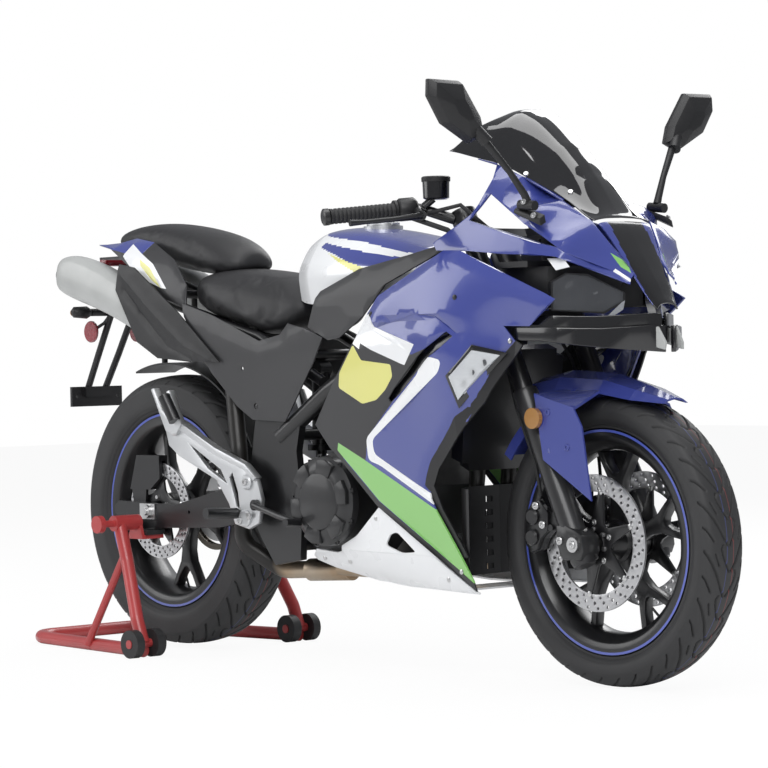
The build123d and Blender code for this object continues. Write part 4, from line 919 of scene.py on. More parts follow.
def rim(name, width, centre, hub_half, hub_radius, turn, body, node):
    """Cast rim with forked spokes, a hub and a painted stripe."""
    half = width / 2
    seat = half - 7
    # The section runs over the tyre's side from left to right, then back along the inside.
    outer = [(half, 221), (half, 226), (half - 1.2, 227), (seat + 1.6, 227), (seat + 0.6, 226), (seat + 0.5,
                                                                                                 214),
             (seat - 6, 212), (22, 196)]
    inner = [(-half + 4, 201), (-half + 12, 196), (-26, 188), (-14, 184)]
    barrel = [(half, 206), *outer, *[(-y, r) for y, r in outer[::-1]], (-half, 206), *inner,
              *[(-y, r) for y, r in inner[::-1]]]
    marks = [0] * len(barrel)
    marks[1] = marks[15] = 1
    parts = [lathe(name + "_ring", barrel, centre, ["black_cast", "stripe_blue"], 144, 40, marks)]
    profile = [(hub_half, 10), (hub_half, hub_radius - 6), (hub_half - 3, hub_radius - 3), (20,
                                                                                            hub_radius + 2),
               (14, hub_radius + 8)]
    parts.append(lathe(name + "_hub", profile + [(-y, r) for y, r in profile[::-1]], centre, "black_cast", 48,
                       35))
    angle = radians(turn + 36 + 180)
    base = at(centre[0] + 197 * cos(angle), 0, centre[1] + 197 * sin(angle))
    tip = at(centre[0] + 160 * cos(angle), -12, centre[1] + 160 * sin(angle))
    parts.append(tube(name + "_valve", [base, base.lerp(tip, 0.3), base.lerp(tip, 0.32), tip],
                      [4.5, 4.2, 2.6, 2.6], "grip_rubber", 10))
    arm = [(hub_radius - 4, -30), (hub_radius + 22, -19), (96, -15), (122, -20), (150, -36), (190, -58),
           (190, -40), (156, -22), (140, -9)]
    arm += [(135, 0), *[(u, -v) for u, v in arm[::-1]]]
    for k in range(5):
        angle = radians(turn + 72 * k)
        points = [(u * cos(angle) - v * sin(angle), u * sin(angle) + v * cos(angle)) for u, v in arm]
        parts.append(plate(f"{name}_spoke{k}", points, -13, 13, "black_cast", bevel=4.5, centre=centre))
    joined(name, parts, body, node)


def drilled_disc(name, centre, middle, radius, inner, hub_radius, hub_face, arms, side, turn):
    """Floating brake disc: drilled ring, black star carrier and bright bobbins."""
    low, high = middle - 2.2, middle + 2.2
    holes = []
    for row, (where, size) in enumerate(((0.2, 3.2), (0.5, 3.6), (0.8, 3.2))):
        away = inner + (radius - inner) * where
        for k in range(30):
            angle = 2 * pi * (k + (0.33 * row)) / 30
            holes.append(circle(size, 8, (away * cos(angle), away * sin(angle))))
    star = []
    for k in range(arms):
        for away, spread in ((hub_radius + 12, -16), (inner + 3, -5.5), (inner + 3, 5.5), (hub_radius + 12,
                                                                                           16)):
            angle = turn + 2 * pi * k / arms + atan2(spread, away)
            reach = hypot(away, spread)
            star.append((reach * cos(angle), reach * sin(angle)))
        between = turn + 2 * pi * (k + 0.5) / arms
        star.append(((hub_radius + 9) * cos(between), (hub_radius + 9) * sin(between)))
    parts = [annulus(name + "_ring", circle(radius, 120), [circle(inner, 90), *holes], low, high,
                     "disc_steel",
                     centre),
             annulus(name + "_carrier", star, [circle(22, 32)], low - 0.6, high + 0.6, "black_cast", centre)]
    bobbin = [(high + 2.2, 0.01), (high + 2.2, 5), (high + 1.4, 6.2), (low - 1.4, 6.2), (low - 2.2, 5),
              (low - 2.2, 0.01)]
    face = high + 1.2 if side > 0 else low - 1.2
    screw = [(face + side * 3.4, 0.01), (face + side * 3.4, 4.6), (face, 5.6), (face - side * 2, 5.6),
             (face - side * 2, 0.01)]
    for k in range(arms):
        for word, away, lag, profile, steps in (("bobbin", inner + 1, 0, bobbin, 16),
                                                ("bolt", hub_radius - 6, 0.3, screw, 12)):
            angle = turn + 2 * pi * k / arms + lag
            parts.append(lathe(f"{name}_{word}{k}", profile,
                               (centre[0] + away * cos(angle), centre[1] + away * sin(angle)), "bare_steel",
                               steps))
    near, far = sorted((hub_face, middle))
    parts.append(lathe(name + "_boss", [(far, 22), (far, hub_radius), (near, hub_radius), (near, 22)], centre,
                       "black_cast", 40))
    return parts


def annulus(name, outer, holes, low, high, finishes, centre):
    """Flat ring from y = low to y = high with a middle opening and holes."""
    return plate(name, outer, low, high, finishes, holes, 0.5, centre)


class MOTORCYCLE_OT_wheels(bpy.types.Operator):
    """Tyres with grooved tread, cast rims and drilled discs"""
    bl_idname = "motorcycle.wheels"
    bl_label = "Wheels"

    def execute(self, context):
        depth = context.scene.motorcycle.tread_depth * 1000
        rubber = FINISHES["tyre_rubber"]
        # The groove depth drives painted shade: the grooves' bottoms are painted near black, as shadow in the
        # recesses.
        deep = rubber.add("ShaderNodeAttribute", {"attribute_name": "groove"}, {}, "Fac")
        y = rubber.along(1)
        red = abs(y - 0.010) < 0.0009
        blue = abs(y + 0.008) < 0.0009
        base = rubber.mix(rubber.noise(9.0, 4.0), (0.020, 0.020, 0.021), (0.030, 0.030, 0.031))
        lined = rubber.mix(red * 0.55, base, (0.28, 0.05, 0.05))
        lined = rubber.mix(blue * 0.5, lined, (0.06, 0.08, 0.28))
        rubber.set("Base Color", rubber.mix(deep * 0.75, lined, (0.004, 0.004, 0.004)))
        tyre("front_tyre_tread", 293, 112, 90, FRONT_WHEEL, 62, depth, "front_wheel", "front_tyre")
        tyre("rear_tyre_tread", 315, 145, 115, REAR_WHEEL, 72, depth, "rear_wheel", "rear_tyre")
        rim("front_rim_cast", 90, FRONT_WHEEL, 57, 36, 90, "front_wheel", "front_rim")
        rim("rear_rim_cast", 115, REAR_WHEEL, 67, 42, 54, "rear_wheel", "rear_rim")
        parts = drilled_disc("front_disc_left", FRONT_WHEEL, 72, 137.5, 103, 34, 58, 6, 1, 0.35)
        parts += drilled_disc("front_disc_right", FRONT_WHEEL, -72, 137.5, 103, 34, -58, 6, -1, 0.35)
        joined("front_discs_drilled", parts, "front_wheel", "front_discs")
        parts = drilled_disc("rear_disc_right", REAR_WHEEL, -84, 111.5, 82, 38, -68, 5, -1, 0.2)
        joined("rear_disc_drilled", parts, "rear_wheel", "rear_disc")
        return {"FINISHED"}


fairing_surface = table_surface(FAIRING_LEVELS, FAIRING_ROWS)
cover_surface = skinned_surface(COVER_PROFILES)
cowl_surface = skinned_surface(COWL_PROFILES)


def belly_surface(station, z):
    """Half width of the belly pan at a station and height."""
    k, t = between_rows(BELLY_ROWS, station)
    low, middle, upper = (a + (b - a) * t for a, b in zip(BELLY_ROWS[k][1], BELLY_ROWS[k + 1][1]))
    keel = 187 + max(0.0, (921 - station)) * 0.11
    if z < 262:
        s = min(max((z - keel) / (262 - keel), 0.0), 1.0)
        return low + (middle - low) * s ** 0.6
    return middle + (upper - middle) * (z - 262) / 108


def distance_to(point, line):
    """Shortest way from a point to a run of straight lines."""
    best = 1e9
    for (ax, ay), (bx, by) in zip(line, line[1:]):
        ux, uy = bx - ax, by - ay
        t = min(max(((point[0] - ax) * ux + (point[1] - ay) * uy) / (ux * ux + uy * uy), 0.0), 1.0)
        best = min(best, hypot(point[0] - ax - ux * t, point[1] - ay - uy * t))
    return best


def eased(x):
    """Smooth step from 0 to 1."""
    x = min(max(x, 0.0), 1.0)
    return x * x * (3 - 2 * x)


DUCT_LIP = [(866, 722), (960, 742), (1060, 760), (1120, 752), (1176, 716)]
FAIRING_TOP = [(885, 758), (922, 799), (970, 821), (1112, 887), (1160, 885), (1391, 792), (1416, 780)]
FAIRING_FRONT = [(1304, 689), (1218, 583), (1160, 537), (1067, 448), (1045, 407)]


def fairing_relief(station, z):
    """Half width of the side fairing with its folds."""
    spot = (station, z)
    width = fairing_surface(station, z)
    width -= 7 * (1 - eased(distance_to(spot, FAIRING_TOP) / 26))
    width -= 9 * (1 - eased(distance_to(spot, FAIRING_FRONT) / 30))
    below = 1 - eased(distance_to(spot, DUCT_LIP) / 34)
    lip = 740 if station < 960 else 756
    width -= 8 * below if z < lip else 0
    return width


FAIRING_ZONES = [
    ("dark_grey", [(664, 500), (672, 535), (748, 626), (834, 712), (878, 768), (893, 744), (905, 728), (985,
                                                                                                        700),
                   (1040, 676), (1100, 690), (1060, 645), (1036, 640), (868, 505), (860, 480), (846, 440),
                   (740, 470)]),
    ("white", [(845, 701), (862, 735), (880, 757), (899, 765), (912, 735), (1052, 697), (1012, 655), (870,
                                                                                                      688)]),
    ("dark_grey", [(868, 702), (905, 688), (1006, 656), (990, 640), (866, 680)]),
    ("pale_yellow", rounded([(846, 699), (866, 673), (872, 666), (966, 657), (968, 632), (941, 604), (909,
                                                                                                      583),
                             (862, 575), (783, 609), (790, 640)], 6)),
    ("white", rounded([(1105, 671), (1138, 664), (1126, 640), (882, 500), (884, 470), (1104, 365), (1112,
                                                                                                    342),
                       (899, 446), (862, 456), (862, 502), (1058, 640), (1068, 668)], 12)),
    ("green", [(763, 492), (846, 458), (1082, 350), (1176, 213), (1179, 203), (883, 371), (758, 476)]),
    ("dark_grey", [(685, 536), (736, 488), (758, 474), (882, 370), (1178, 204), (1190, 180), (860, 340),
                   (690, 480), (670, 520)]),
]
DUCT_SLOT = [(1150, 722), (1166, 712), (1082, 660), (988, 596), (954, 578), (948, 586), (968, 606), (1060,
                                                                                                     672)]


def screw_head(name, spot, outward_side, radius=5.0, entry="bare_steel"):
    """Domed screw in a side panel."""
    station, y, z = spot
    s = outward_side
    return lathe(name, [(y + s * 2.6, 0.01), (y + s * 2.2, radius * 0.55), (y + s * 1.2, radius), (y - s * 2,
                                                                                                   radius),
                        (y - s * 2, 0.01)], (station, z), entry, 14)


class MOTORCYCLE_OT_fairings(bpy.types.Operator):
    """Side fairings with their painted zones, duct slot and lamps"""
    bl_idname = "motorcycle.fairings"
    bl_label = "Side fairings"

    def execute(self, context):
        sizes = context.scene.motorcycle
        finishes = ["blue", "white", "pale_yellow", "green", "dark_grey"]
        right = panel("side_fairing_right_painted", FAIRING_OUTLINE, fairing_relief, finishes,
                      sizes.panel_wall * 1000, FAIRING_ZONES, [DUCT_SLOT], [FAIRING_TOP, DUCT_LIP], -1, 13.0,
                      sizes.panel_bevel * 1000)
        left = mirrored_copy(right, "side_fairing_left_painted")
        settle(right, "chassis", "side_fairing_right")
        settle(left, "chassis", "side_fairing_left")
        for side, word in SIDES:
            duct = panel(f"duct_floor_{word}", [(1190, 735), (1178, 690), (990, 570), (930, 560), (920, 590),
                                                (1050, 690)], lambda u, v: fairing_relief(u, v) - 12,
                         ["gloss_black"], 2.5, side=side, spacing=30, bevel=0)
            settle(duct, "chassis", ())
            bezel = panel(f"lamp_bezel_{word}", [(1288, 676), (1214, 694), (1148, 632), (1174, 566)],
                          lambda u, v: fairing_surface(u, v) + 3.4, ["gloss_black"], 3.0,
                          holes=[[(1272, 671), (1217, 682), (1161, 630), (1178, 587)]], side=side, spacing=30,
                          bevel=0.7)
            settle(bezel, "chassis", ())
            bowl = panel(f"lamp_bowl_{word}", [(1282, 674), (1215, 690), (1152, 631), (1175, 572)],
                         lambda u, v: fairing_surface(u, v) + 1.0, ["chrome_reflector"], 1.5, side=side,
                         spacing=30, bevel=0)
            settle(bowl, "chassis", ())
            cells = []
            for k, (u, v) in enumerate(((1190, 618), (1212, 638), (1236, 656))):
                y = fairing_surface(u, v) + 1.5
                cells.append(button(f"lamp_cell_{word}{k}", side, [(y + 3.4, 0.01), (y + 3.0, 8),
                                                                   (y + 1.0, 11.5),
                                                                   (y - 1, 12), (y - 1, 0.01)], (u, v),
                                    "lamp_glass", 20))
            joined(f"lamp_cells_{word}", cells, "chassis", ())
            lens = panel(f"fairing_signal_{word}", [(1274, 672), (1216, 683), (1159, 630), (1177, 583)],
                         lambda u, v: fairing_surface(u, v) + 6.2, ["clear_lens"], 1.2, side=side, spacing=16,
                         bevel=0.4)
            settle(lens, "chassis", "fairing_signals" if side < 0 else ())
            screws = []
            for k, (u, v) in enumerate(((1175, 790), (905, 762), (1288, 700), (1130, 232))):
                y = side * fairing_relief(u, v)
                screws.append(screw_head(f"fairing_screw_{word}{k}", (u, y, v), side, 5.5,
                                         "black_steel" if k < 2 else "bare_steel"))
            joined(f"fairing_screws_{word}", screws, "chassis", ())
        return {"FINISHED"}


class MOTORCYCLE_OT_covers(bpy.types.Operator):
    """Knee covers and lower side covers"""
    bl_idname = "motorcycle.covers"
    bl_label = "Side covers"

    def execute(self, context):
        def knee(station, z):
            """Half width with the bevel along the top and the fold at the back."""
            return cover_surface(station, z) - 6 * (1 - eased(distance_to(
                (station, z), [(690, 815), (812, 859), (960, 883), (1068, 902)]) / 18))

        def lower(station, z):
            """Half width with the rounded rim under the seat."""
            return cover_surface(station, z) - 8 * (1 - eased(distance_to(
                (station, z), [(190, 802), (300, 772), (462, 712), (540, 725), (570, 749)]) / 20))
        parts = []
        for side, word in SIDES:
            parts.append(panel(f"knee_{word}", KNEE_OUTLINE, knee, ["dark_grey"], 3.5, side=side, spacing=20))
            parts.append(panel(f"lower_{word}", LOWER_OUTLINE, lower, ["dark_grey"], 3.5, side=side,
                               spacing=20,
                               holes=[circle(4, 10, (405, 652)), circle(7, 12, (441, 568))]))
            for k, (u, v) in enumerate(((1062, 893), (441, 568), (560, 690))):
                parts.append(screw_head(f"cover_screw_{word}{k}", (u, side * (cover_surface(u, v) - 3), v),
                                        side,
                                        6.0, "bare_steel" if k == 0 else "black_steel"))
        joined("side_covers_moulded", parts, "chassis", "side_covers")
        return {"FINISHED"}


class MOTORCYCLE_OT_belly(bpy.types.Operator):
    """White belly pan with its opening"""
    bl_idname = "motorcycle.belly"
    bl_label = "Belly pan"

    def execute(self, context):
        outline = [(1171, 188), (1060, 188), (921, 189), (801, 196), (660, 217), (604, 234), (600, 244), (620,
                                                                                                          258),
                   (700, 254), (716, 258), (720, 270), (776, 292), (820, 318), (868, 352)]
        hole = rounded([(880, 277), (901, 301), (926, 306), (981, 266), (934, 262)], 10)
        parts = []
        for side, word in SIDES:
            parts.append(panel(f"belly_{word}", outline, lambda u, v: belly_surface(u, v) - 0.6, ["white"],
                               3.5,
                               holes=[hole], side=side, spacing=16, bevel=1.0))
            for k, (u, v) in enumerate(((640, 240), (733, 236), (858, 333), (1075, 213))):
                parts.append(screw_head(f"belly_screw_{word}{k}", (u, side * (belly_surface(u, v) - 0.8), v),
                                        side,
                                        5.5, "bare_steel"))
        joined("belly_pan_sides", parts, "chassis", ())
        return {"FINISHED"}


TAIL_PROFILES = [
    (-330, [(88, 870), (90, 900), (84, 930), (60, 950), (20, 960)]),
    (-180, [(134, 880), (136, 915), (124, 945), (98, 950), (60, 968)]),
    (0, [(150, 830), (152, 870), (140, 905), (118, 935), (90, 962)]),
    (150, [(150, 770), (156, 825), (146, 860), (126, 895), (96, 925)]),
    (300, [(150, 700), (158, 760), (150, 815), (128, 850), (96, 885)]),
]


def oval(station, height, y, tall, wide, corner, lean):
    """Ring of twelve places: a rounded box section across the motorcycle."""
    points = []
    for k in range(12):
        a = 2 * pi * k / 12
        c, s = cos(a), sin(a)
        u = abs(c) ** corner * (1 if c > 0 else -1) if abs(c) > 1e-9 else 0.0
        v = abs(s) ** corner * (1 if s > 0 else -1) if abs(s) > 1e-9 else 0.0
        points.append(at(station + lean * v * tall, y + u * wide, height + v * tall))
    return points


class MOTORCYCLE_OT_tail(bpy.types.Operator):
    """Tail cowl, mufflers and heat shields"""
    bl_idname = "motorcycle.tail"
    bl_label = "Tail and mufflers"

    def execute(self, context):
        tail_surface = skinned_surface(TAIL_PROFILES)
        outline = [(-196, 949), (-150, 948), (-110, 950), (-60, 959), (20, 947), (120, 904), (195, 842), (199,
                                                                                                          792),
                   (120, 813), (-30, 895), (-120, 937)]
        zones = [("blue", [(-200, 960), (-60, 975), (30, 960), (4, 912), (-110, 934), (-200, 948)]),
                 ("white", [(-45, 945), (6, 921), (60, 895), (128, 836), (110, 838), (20, 866), (-60, 918)]),
                 ("pale_yellow", [(10, 908), (54, 886), (106, 838), (70, 858), (20, 892)])]
        parts = []
        for side, word in SIDES:
            parts.append(panel(f"tail_{word}", outline, tail_surface, ["dark_grey", "blue", "white",
                                                                       "pale_yellow"],
                               3.5, zones, side=side, spacing=14, smooth=28))
        deck = [(-60, 111), (-200, 95), (-228, 57)]
        deck = [(u, -y) for u, y in deck] + deck[::-1]
        base = new_piece("tail_deck", [at(u, y, 919) for u, y in deck], [range(6)], "dark_grey", None)
        modifier(base, "SOLIDIFY", thickness=0.005, offset=1)
        parts.append(baked(base, 30))
        joined("tail_cowl_painted", parts, "chassis", "tail_cowl")
        silencers = []
        stages = [(104, 731, 21, 21), (60, 754, 34, 30), (20, 777, 47, 37), (-60, 815, 51, 40), (-140, 846,
                                                                                                 54, 41),
                  (-240, 873, 55, 40), (-284, 881, 46, 37), (-300, 882, 36, 32)]
        for side, word in SIDES:
            silencers += [
                loft(f"muffler_{word}", [oval(u, z, side * 124, tall, wide, 0.7, 0.12) for u, z, tall,
                                         wide in stages],
                     "silver_paint", 40, 2),
                tube(f"muffler_tip_{word}", on_side(side, (-296, 124, 881), (-303, 124, 882)), [26, 25],
                     "gloss_black", 32),
                tube(f"muffler_seam_{word}", on_side(side, (98, 124, 733), (88, 124, 738)), [24, 24],
                     "bare_steel",
                     32),
            ]
        joined("mufflers_formed", silencers, "chassis", "mufflers")
        shields = []
        shield_rows = skinned_surface([
            (-60, [(160, 640), (174, 700), (176, 800), (172, 880), (150, 930)]),
            (120, [(166, 640), (176, 700), (174, 800), (168, 880), (150, 930)]),
            (350, [(170, 640), (174, 700), (170, 800), (164, 880), (150, 930)]),
        ])
        fold = [(-20, 872), (90, 790), (210, 706), (300, 672)]
        fold_low = [(-10, 838), (80, 760), (150, 704), (230, 676)]

        def shield(station, z):
            """Half width with two long ridges."""
            ridge = 1 - eased(distance_to((station, z), fold) / 10)
            groove = 1 - eased(distance_to((station, z), fold_low) / 12)
            return shield_rows(station, z) - 3.0 - 4 * groove + 2.6 * ridge
        for side, word in SIDES:
            shields.append(panel(f"heat_shield_{word}", [(-40, 838), (40, 716), (112, 678), (262, 668),
                                                         (336, 666),
                                                         (190, 782), (26, 888), (-36, 898)], shield,
                                 ["black_plastic"], 3.0, lines=[fold, fold_low], side=side, spacing=9,
                                 smooth=26))
        joined("heat_shields_ribbed", shields, "chassis", "heat_shields")
        return {"FINISHED"}


BEAK_EDGE = [
    # station, half width, then the lip's lower and upper heights
    (1266, 181, 706, 729), (1310, 181, 700, 727), (1360, 181, 699, 725), (1408, 179, 694, 724),
    (1439, 150, 688, 722), (1472, 112, 682, 721), (1503, 72, 677, 723), (1530, 40, 674, 725), (1548, 14, 671,
                                                                                               724),
]


def beak_rings(lift, low_add, high_add, thickness):
    """Closed sections of a band that follows the beak's edge, drawn in by the lift."""
    rings = []
    for station, y, low, high in BEAK_EDGE:
        outer = (station - lift, -(y - lift * 0.4))
        inner = (outer[0] - thickness, -(y - lift * 0.4 - thickness * 0.5))
        rings.append([at(*outer, low + low_add), at(*outer, high + high_add), at(*inner, high + high_add),
                      at(*inner, low + low_add)])
    return rings


class MOTORCYCLE_OT_nose(bpy.types.Operator):
    """Upper cowl, ridge, screen, headlights and beak"""
    bl_idname = "motorcycle.nose"
    bl_label = "Nose"

    def execute(self, context):
        crease = [(1150, 992), (1250, 946), (1345, 912), (1420, 872), (1500, 814)]

        def cowl(station, z):
            """Half width with the long fold above the lamps."""
            return cowl_surface(station, z) - 4 * (1 - eased(distance_to((station, z), crease) / 12))
        zones = [("white", [(1474, 838), (1504, 816), (1504, 811), (1474, 832)]),
                 ("green", [(1460, 870), (1482, 850), (1499, 827), (1478, 842)])]
        parts = []
        for side, word in SIDES:
            parts.append(panel(f"cowl_{word}", COWL_OUTLINE, cowl, ["blue", "white", "green", "gloss_black"],
                               3.5,
                               zones, [COWL_WINDOW], [crease], side, 12, smooth=30))
        joined("upper_cowl_painted", parts, "chassis", "upper_cowl")

        ridge = hood("nose_ridge_gloss", [
            (1425, [(0, 936), (30, 935.4), (56, 934), (72, 931)]),
            (1470, [(0, 876), (26, 874.6), (46, 872), (56, 868)]),
            (1512, [(0, 814), (18, 812), (34, 808), (44, 800)]),
            (1542, [(0, 769), (12, 767.6), (22, 764), (30, 756)]),
        ], lambda u: 1426, lambda u: 1541, ["gloss_black", "blue"], 3.5, 14, 16, drop=0.6,
            marks=lambda u, v: int(u > 0.52 + 0.5 * v))
        settle(ridge, "chassis", "nose_ridge")
        screen = hood("windscreen_smoked", SCREEN_PROFILES, lambda u: 1183 - 104 * u ** 1.6, lambda u: 1422,
                      ["smoked_screen"], 2.6, 40, 16, bevel=0.5, drop=1.2)
        settle(screen, "chassis", "windscreen")
        screws = []
        for side in (-1, 1):
            for k, (station, u) in enumerate(((1344, 0.67), (1250, 0.95))):
                y, z = on_profiles(SCREEN_PROFILES, station, u)
                base = at(station, side * y, z - 1)
                normal = Vector((0.45, side * 0.6, 0.66))
                screws.append(tube(f"screen_screw{side}{k}", [base, base + normal * 0.003], [6, 5],
                                   "bare_steel", 14))
        joined("screen_screws", screws, "chassis", ())

        lamp_rear, lamp_front = Vector((1388, 172)), Vector((1474, 50))
        along = (lamp_front - lamp_rear).normalized()
        out = Vector((-along.y, along.x))
        run = (lamp_front - lamp_rear).length
        outline = [(run, 758), (run, 815), (run * 0.8, 832), (run * 0.5, 829), (0, 791), (0, 774),
                   (run * 0.28, 750)]

        def lamp_place(u, v, side, lift):
            """Place on the lamp's face: u from its front end to its rear end."""
            spot = lamp_front + (lamp_rear - lamp_front) * (u / run) + out * lift
            return at(spot.x, side * spot.y, v)
        parts = []
        for side, word in SIDES:
            for entry, shape, near, far in (("gloss_black", outline, -30, -14),
                                            ("chrome_reflector", inner_shape(outline, 6), -13.5, -11),
                                            ("lamp_glass", inner_shape(outline, 2.5), -3.2, -0.2)):
                rings = [[lamp_place(u, v, side, lift) for u, v in shape] for lift in (near, far)]
                parts.append(loft(f"lamp_{entry}_{word}", rings, entry))
            verts = [lamp_place(u, v, side, lift) for lift in (-14, 0)
                     for loop in (outline, inner_shape(outline, 4.5)) for u, v in loop]
            n = len(outline)
            faces = []
            for i in range(n):
                j = (i + 1) % n
                faces += [(i, j, n + j, n + i), (2 * n + i, 2 * n + j, 3 * n + j, 3 * n + i),
                          (i, j, 2 * n + j, 2 * n + i), (n + i, n + j, 3 * n + j, 3 * n + i)]
            bezel = new_piece(f"lamp_frame_{word}", verts, faces, "gloss_black", None)
            outward(bezel)
            parts.append(bezel)
            direction = Vector((out.x, side * out.y, 0))
            up = Vector((0, 0, 1))
            across = direction.cross(up)
            for k, (u, v, r) in enumerate(((run * 0.66, 792, 25), (run * 0.34, 782, 17))):
                centre = lamp_place(u, v, side, -11)
                round_about = [across * cos(a) + up * sin(a) for a in (2 * pi * s / 28 for s in range(28))]
                rings = []
                for away, radius in ((0.0, r), (3.0, r), (5.5, r * 0.8), (6.5, r * 0.45), (7, 0.6)):
                    rings.append([centre + direction * away / 1000 + way * radius / 1000 for way in round_about])
                parts.append(loft(f"lamp_eye_{word}{k}", rings, "mirror_glass" if k else "chrome_reflector",
                                  smooth=50))
            strip = panel(f"daylight_{word}", [(1374, 862), (1412, 861), (1431, 843), (1399, 837)],
                          skinned_surface([(1300, [(188, 800), (184, 860), (168, 890)]),
                                           (1440, [(164, 800), (160, 850), (140, 890)])]),
                          ["white"], 3.0, side=side, spacing=14)
            parts.append(strip)
            glint = [(39, 743), (7, 772), (1, 775), (5, 757), (34, 739)]
            parts.append(loft(f"lamp_glint_{word}", [[lamp_place(u, v, side, lift) for u, v in glint]
                                                     for lift in (-0.5, 1.2)], "chrome_reflector"))
        joined("headlights_built", parts, "chassis", "headlights")
        lips = []
        for word, lift, low_add, high_add, wall in (("lip", 0, 0, 0, 9), ("chin", 16, 18, 24, 5)):
            band = bevelled(loft(f"beak_{word}_right", beak_rings(lift, low_add, high_add, wall),
                                 "gloss_black",
                                 smooth=24), 1.5, 40, 24)
            lips += [band, mirrored_copy(band, f"beak_{word}_left")]
        for side in (-1, 1):
            blade = [(1500, 30, 690), (1556, 26, 676), (1558, 24, 690), (1540, 27, 722), (1506, 30, 716)]
            rings = [[at(u, side * (y + step), z) for u, y, z in blade] for step in (-3, 3)]
            lips.append(bevelled(loft(f"beak_fin{side}", rings, "silver_paint", smooth=20), 1, 40, 20))
        joined("beak_shaped", lips, "chassis", "beak")
        return {"FINISHED"}


def inner_shape(points, gap):
    """Closed polygon drawn in by a gap towards its middle."""
    cx = sum(p[0] for p in points) / len(points)
    cy = sum(p[1] for p in points) / len(points)
    result = []
    for x, y in points:
        length = hypot(x - cx, y - cy)
        result.append((x - (x - cx) * gap / length, y - (y - cy) * gap / length))
    return result


class MOTORCYCLE_OT_tank(bpy.types.Operator):
    """Fuel tank with its stripes, and the cap"""
    bl_idname = "motorcycle.tank"
    bl_label = "Fuel tank"

    def execute(self, context):
        rings = []
        profiles = []
        for station, half, top, shoulder, low in TANK_STATIONS:
            points = [(0, top), (half * 0.34, top - (top - shoulder) * 0.09), (half * 0.62,
                                                                               top - (top - shoulder) * 0.32),
                      (half * 0.86, shoulder), (half, shoulder - (shoulder - low) * 0.4), (half * 0.94, low)]
            profiles.append((station, points))
        steps, columns = 150, 70
        rear, front = 509, 999
        for r in range(steps + 1):
            station = rear + (front - rear) * r / steps
            ring = []
            for side in (-1, 1):
                order = range(columns + 1) if side > 0 else range(columns, 0, -1)
                for c in order:
                    y, z = on_profiles(profiles, station, c / columns)
                    ring.append(at(station, side * max(y, 0.0), z - 1.0))
            rings.append(ring)
        bands = [
            ("white", [(480, 990), (560, 960), (626, 936), (766, 919), (930, 886), (930, 872), (765, 901),
                       (640, 921),
                       (627, 912), (794, 870), (950, 861), (950, 780), (480, 780)]),
            ("blue", [(656, 908), (790, 866), (960, 858), (960, 872), (766, 900)]),
            ("pale_yellow", [(668, 899), (831, 858), (793, 852)]),
        ]
        finishes = ["blue", "white", "pale_yellow"]

        def band(face, count=2 * columns + 1):
            """Which stripe a quad lies in."""
            r, i = divmod(face, count)
            if r >= steps:
                return 0
            spot = rings[r][i].lerp(rings[r + 1][(i + 1) % count], 0.5)
            u, v = spot.x * 1000 + REAR_AXLE, spot.z * 1000
            mark = 0
            for entry, zone in bands:
                if abs(spot.y) > 0.02 and inside((u, v), zone):
                    mark = finishes.index(entry)
            return mark
        tank = loft("fuel_tank_painted", rings, finishes, smooth=60, face_finish=band)
        settle(tank, "chassis", "fuel_tank")
        cap_ring = tube("cap_ring", [at(705, 0, z) for z in (940, 955.5, 955.8)], [43, 43, 41], "bare_aluminium", 48)
        settle(cap_ring, "chassis", ())
        return {"FINISHED"}


class MOTORCYCLE_OT_seats(bpy.types.Operator):
    """Rider's and passenger's seats, puffed with cloth"""
    bl_idname = "motorcycle.seats"
    bl_label = "Seats"

    def execute(self, context):
        tables = {
            "rider_seat": [(152, 100, 872, 858, 800), (200, 122, 876, 858, 784), (269, 134, 874, 852, 758),
                           (350, 136, 866, 840, 742), (406, 134, 858, 828, 730), (460, 128, 852, 818, 730),
                           (514, 116, 842, 806, 742), (560, 96, 826, 796, 776)],
            "passenger_seat": [(-186, 58, 976, 966, 944), (-140, 78, 988, 972, 930), (-60, 88, 992, 970, 918),
                               (20, 92, 986, 960, 900), (100, 92, 974, 944, 884), (180, 88, 960, 926, 872),
                               (240, 74, 940, 908, 868), (280, 48, 916, 896, 876)],
        }
        for node, rows in tables.items():
            rings = []
            for station, half, top, shoulder, low in rows:
                side = [(half * 0.55, top - (top - shoulder) * 0.22), (half * 0.9, shoulder),
                        (half, shoulder - (shoulder - low) * 0.4), (half * 0.94, low)]
                points = [(-y, z) for y, z in side][::-1] + [(0, top)] + side + [(half * 0.4, low),
                                                                                 (-half * 0.4, low)]
                rings.append([at(station, y, z) for y, z in points])
            pad = loft(node + "_padded", rings, "seat_cover", smooth=60, level=2)
            puffed(pad)
            settle(pad, "chassis", node)
        return {"FINISHED"}


# The cloth that puffs the seats: metres, pressure, stiffness and frames
PAD_VOXEL = 0.006
PAD_LIMIT = 0.006
PAD_PRESSURE = 4.0
PAD_STIFFNESS = 25
PAD_FRAMES = 20


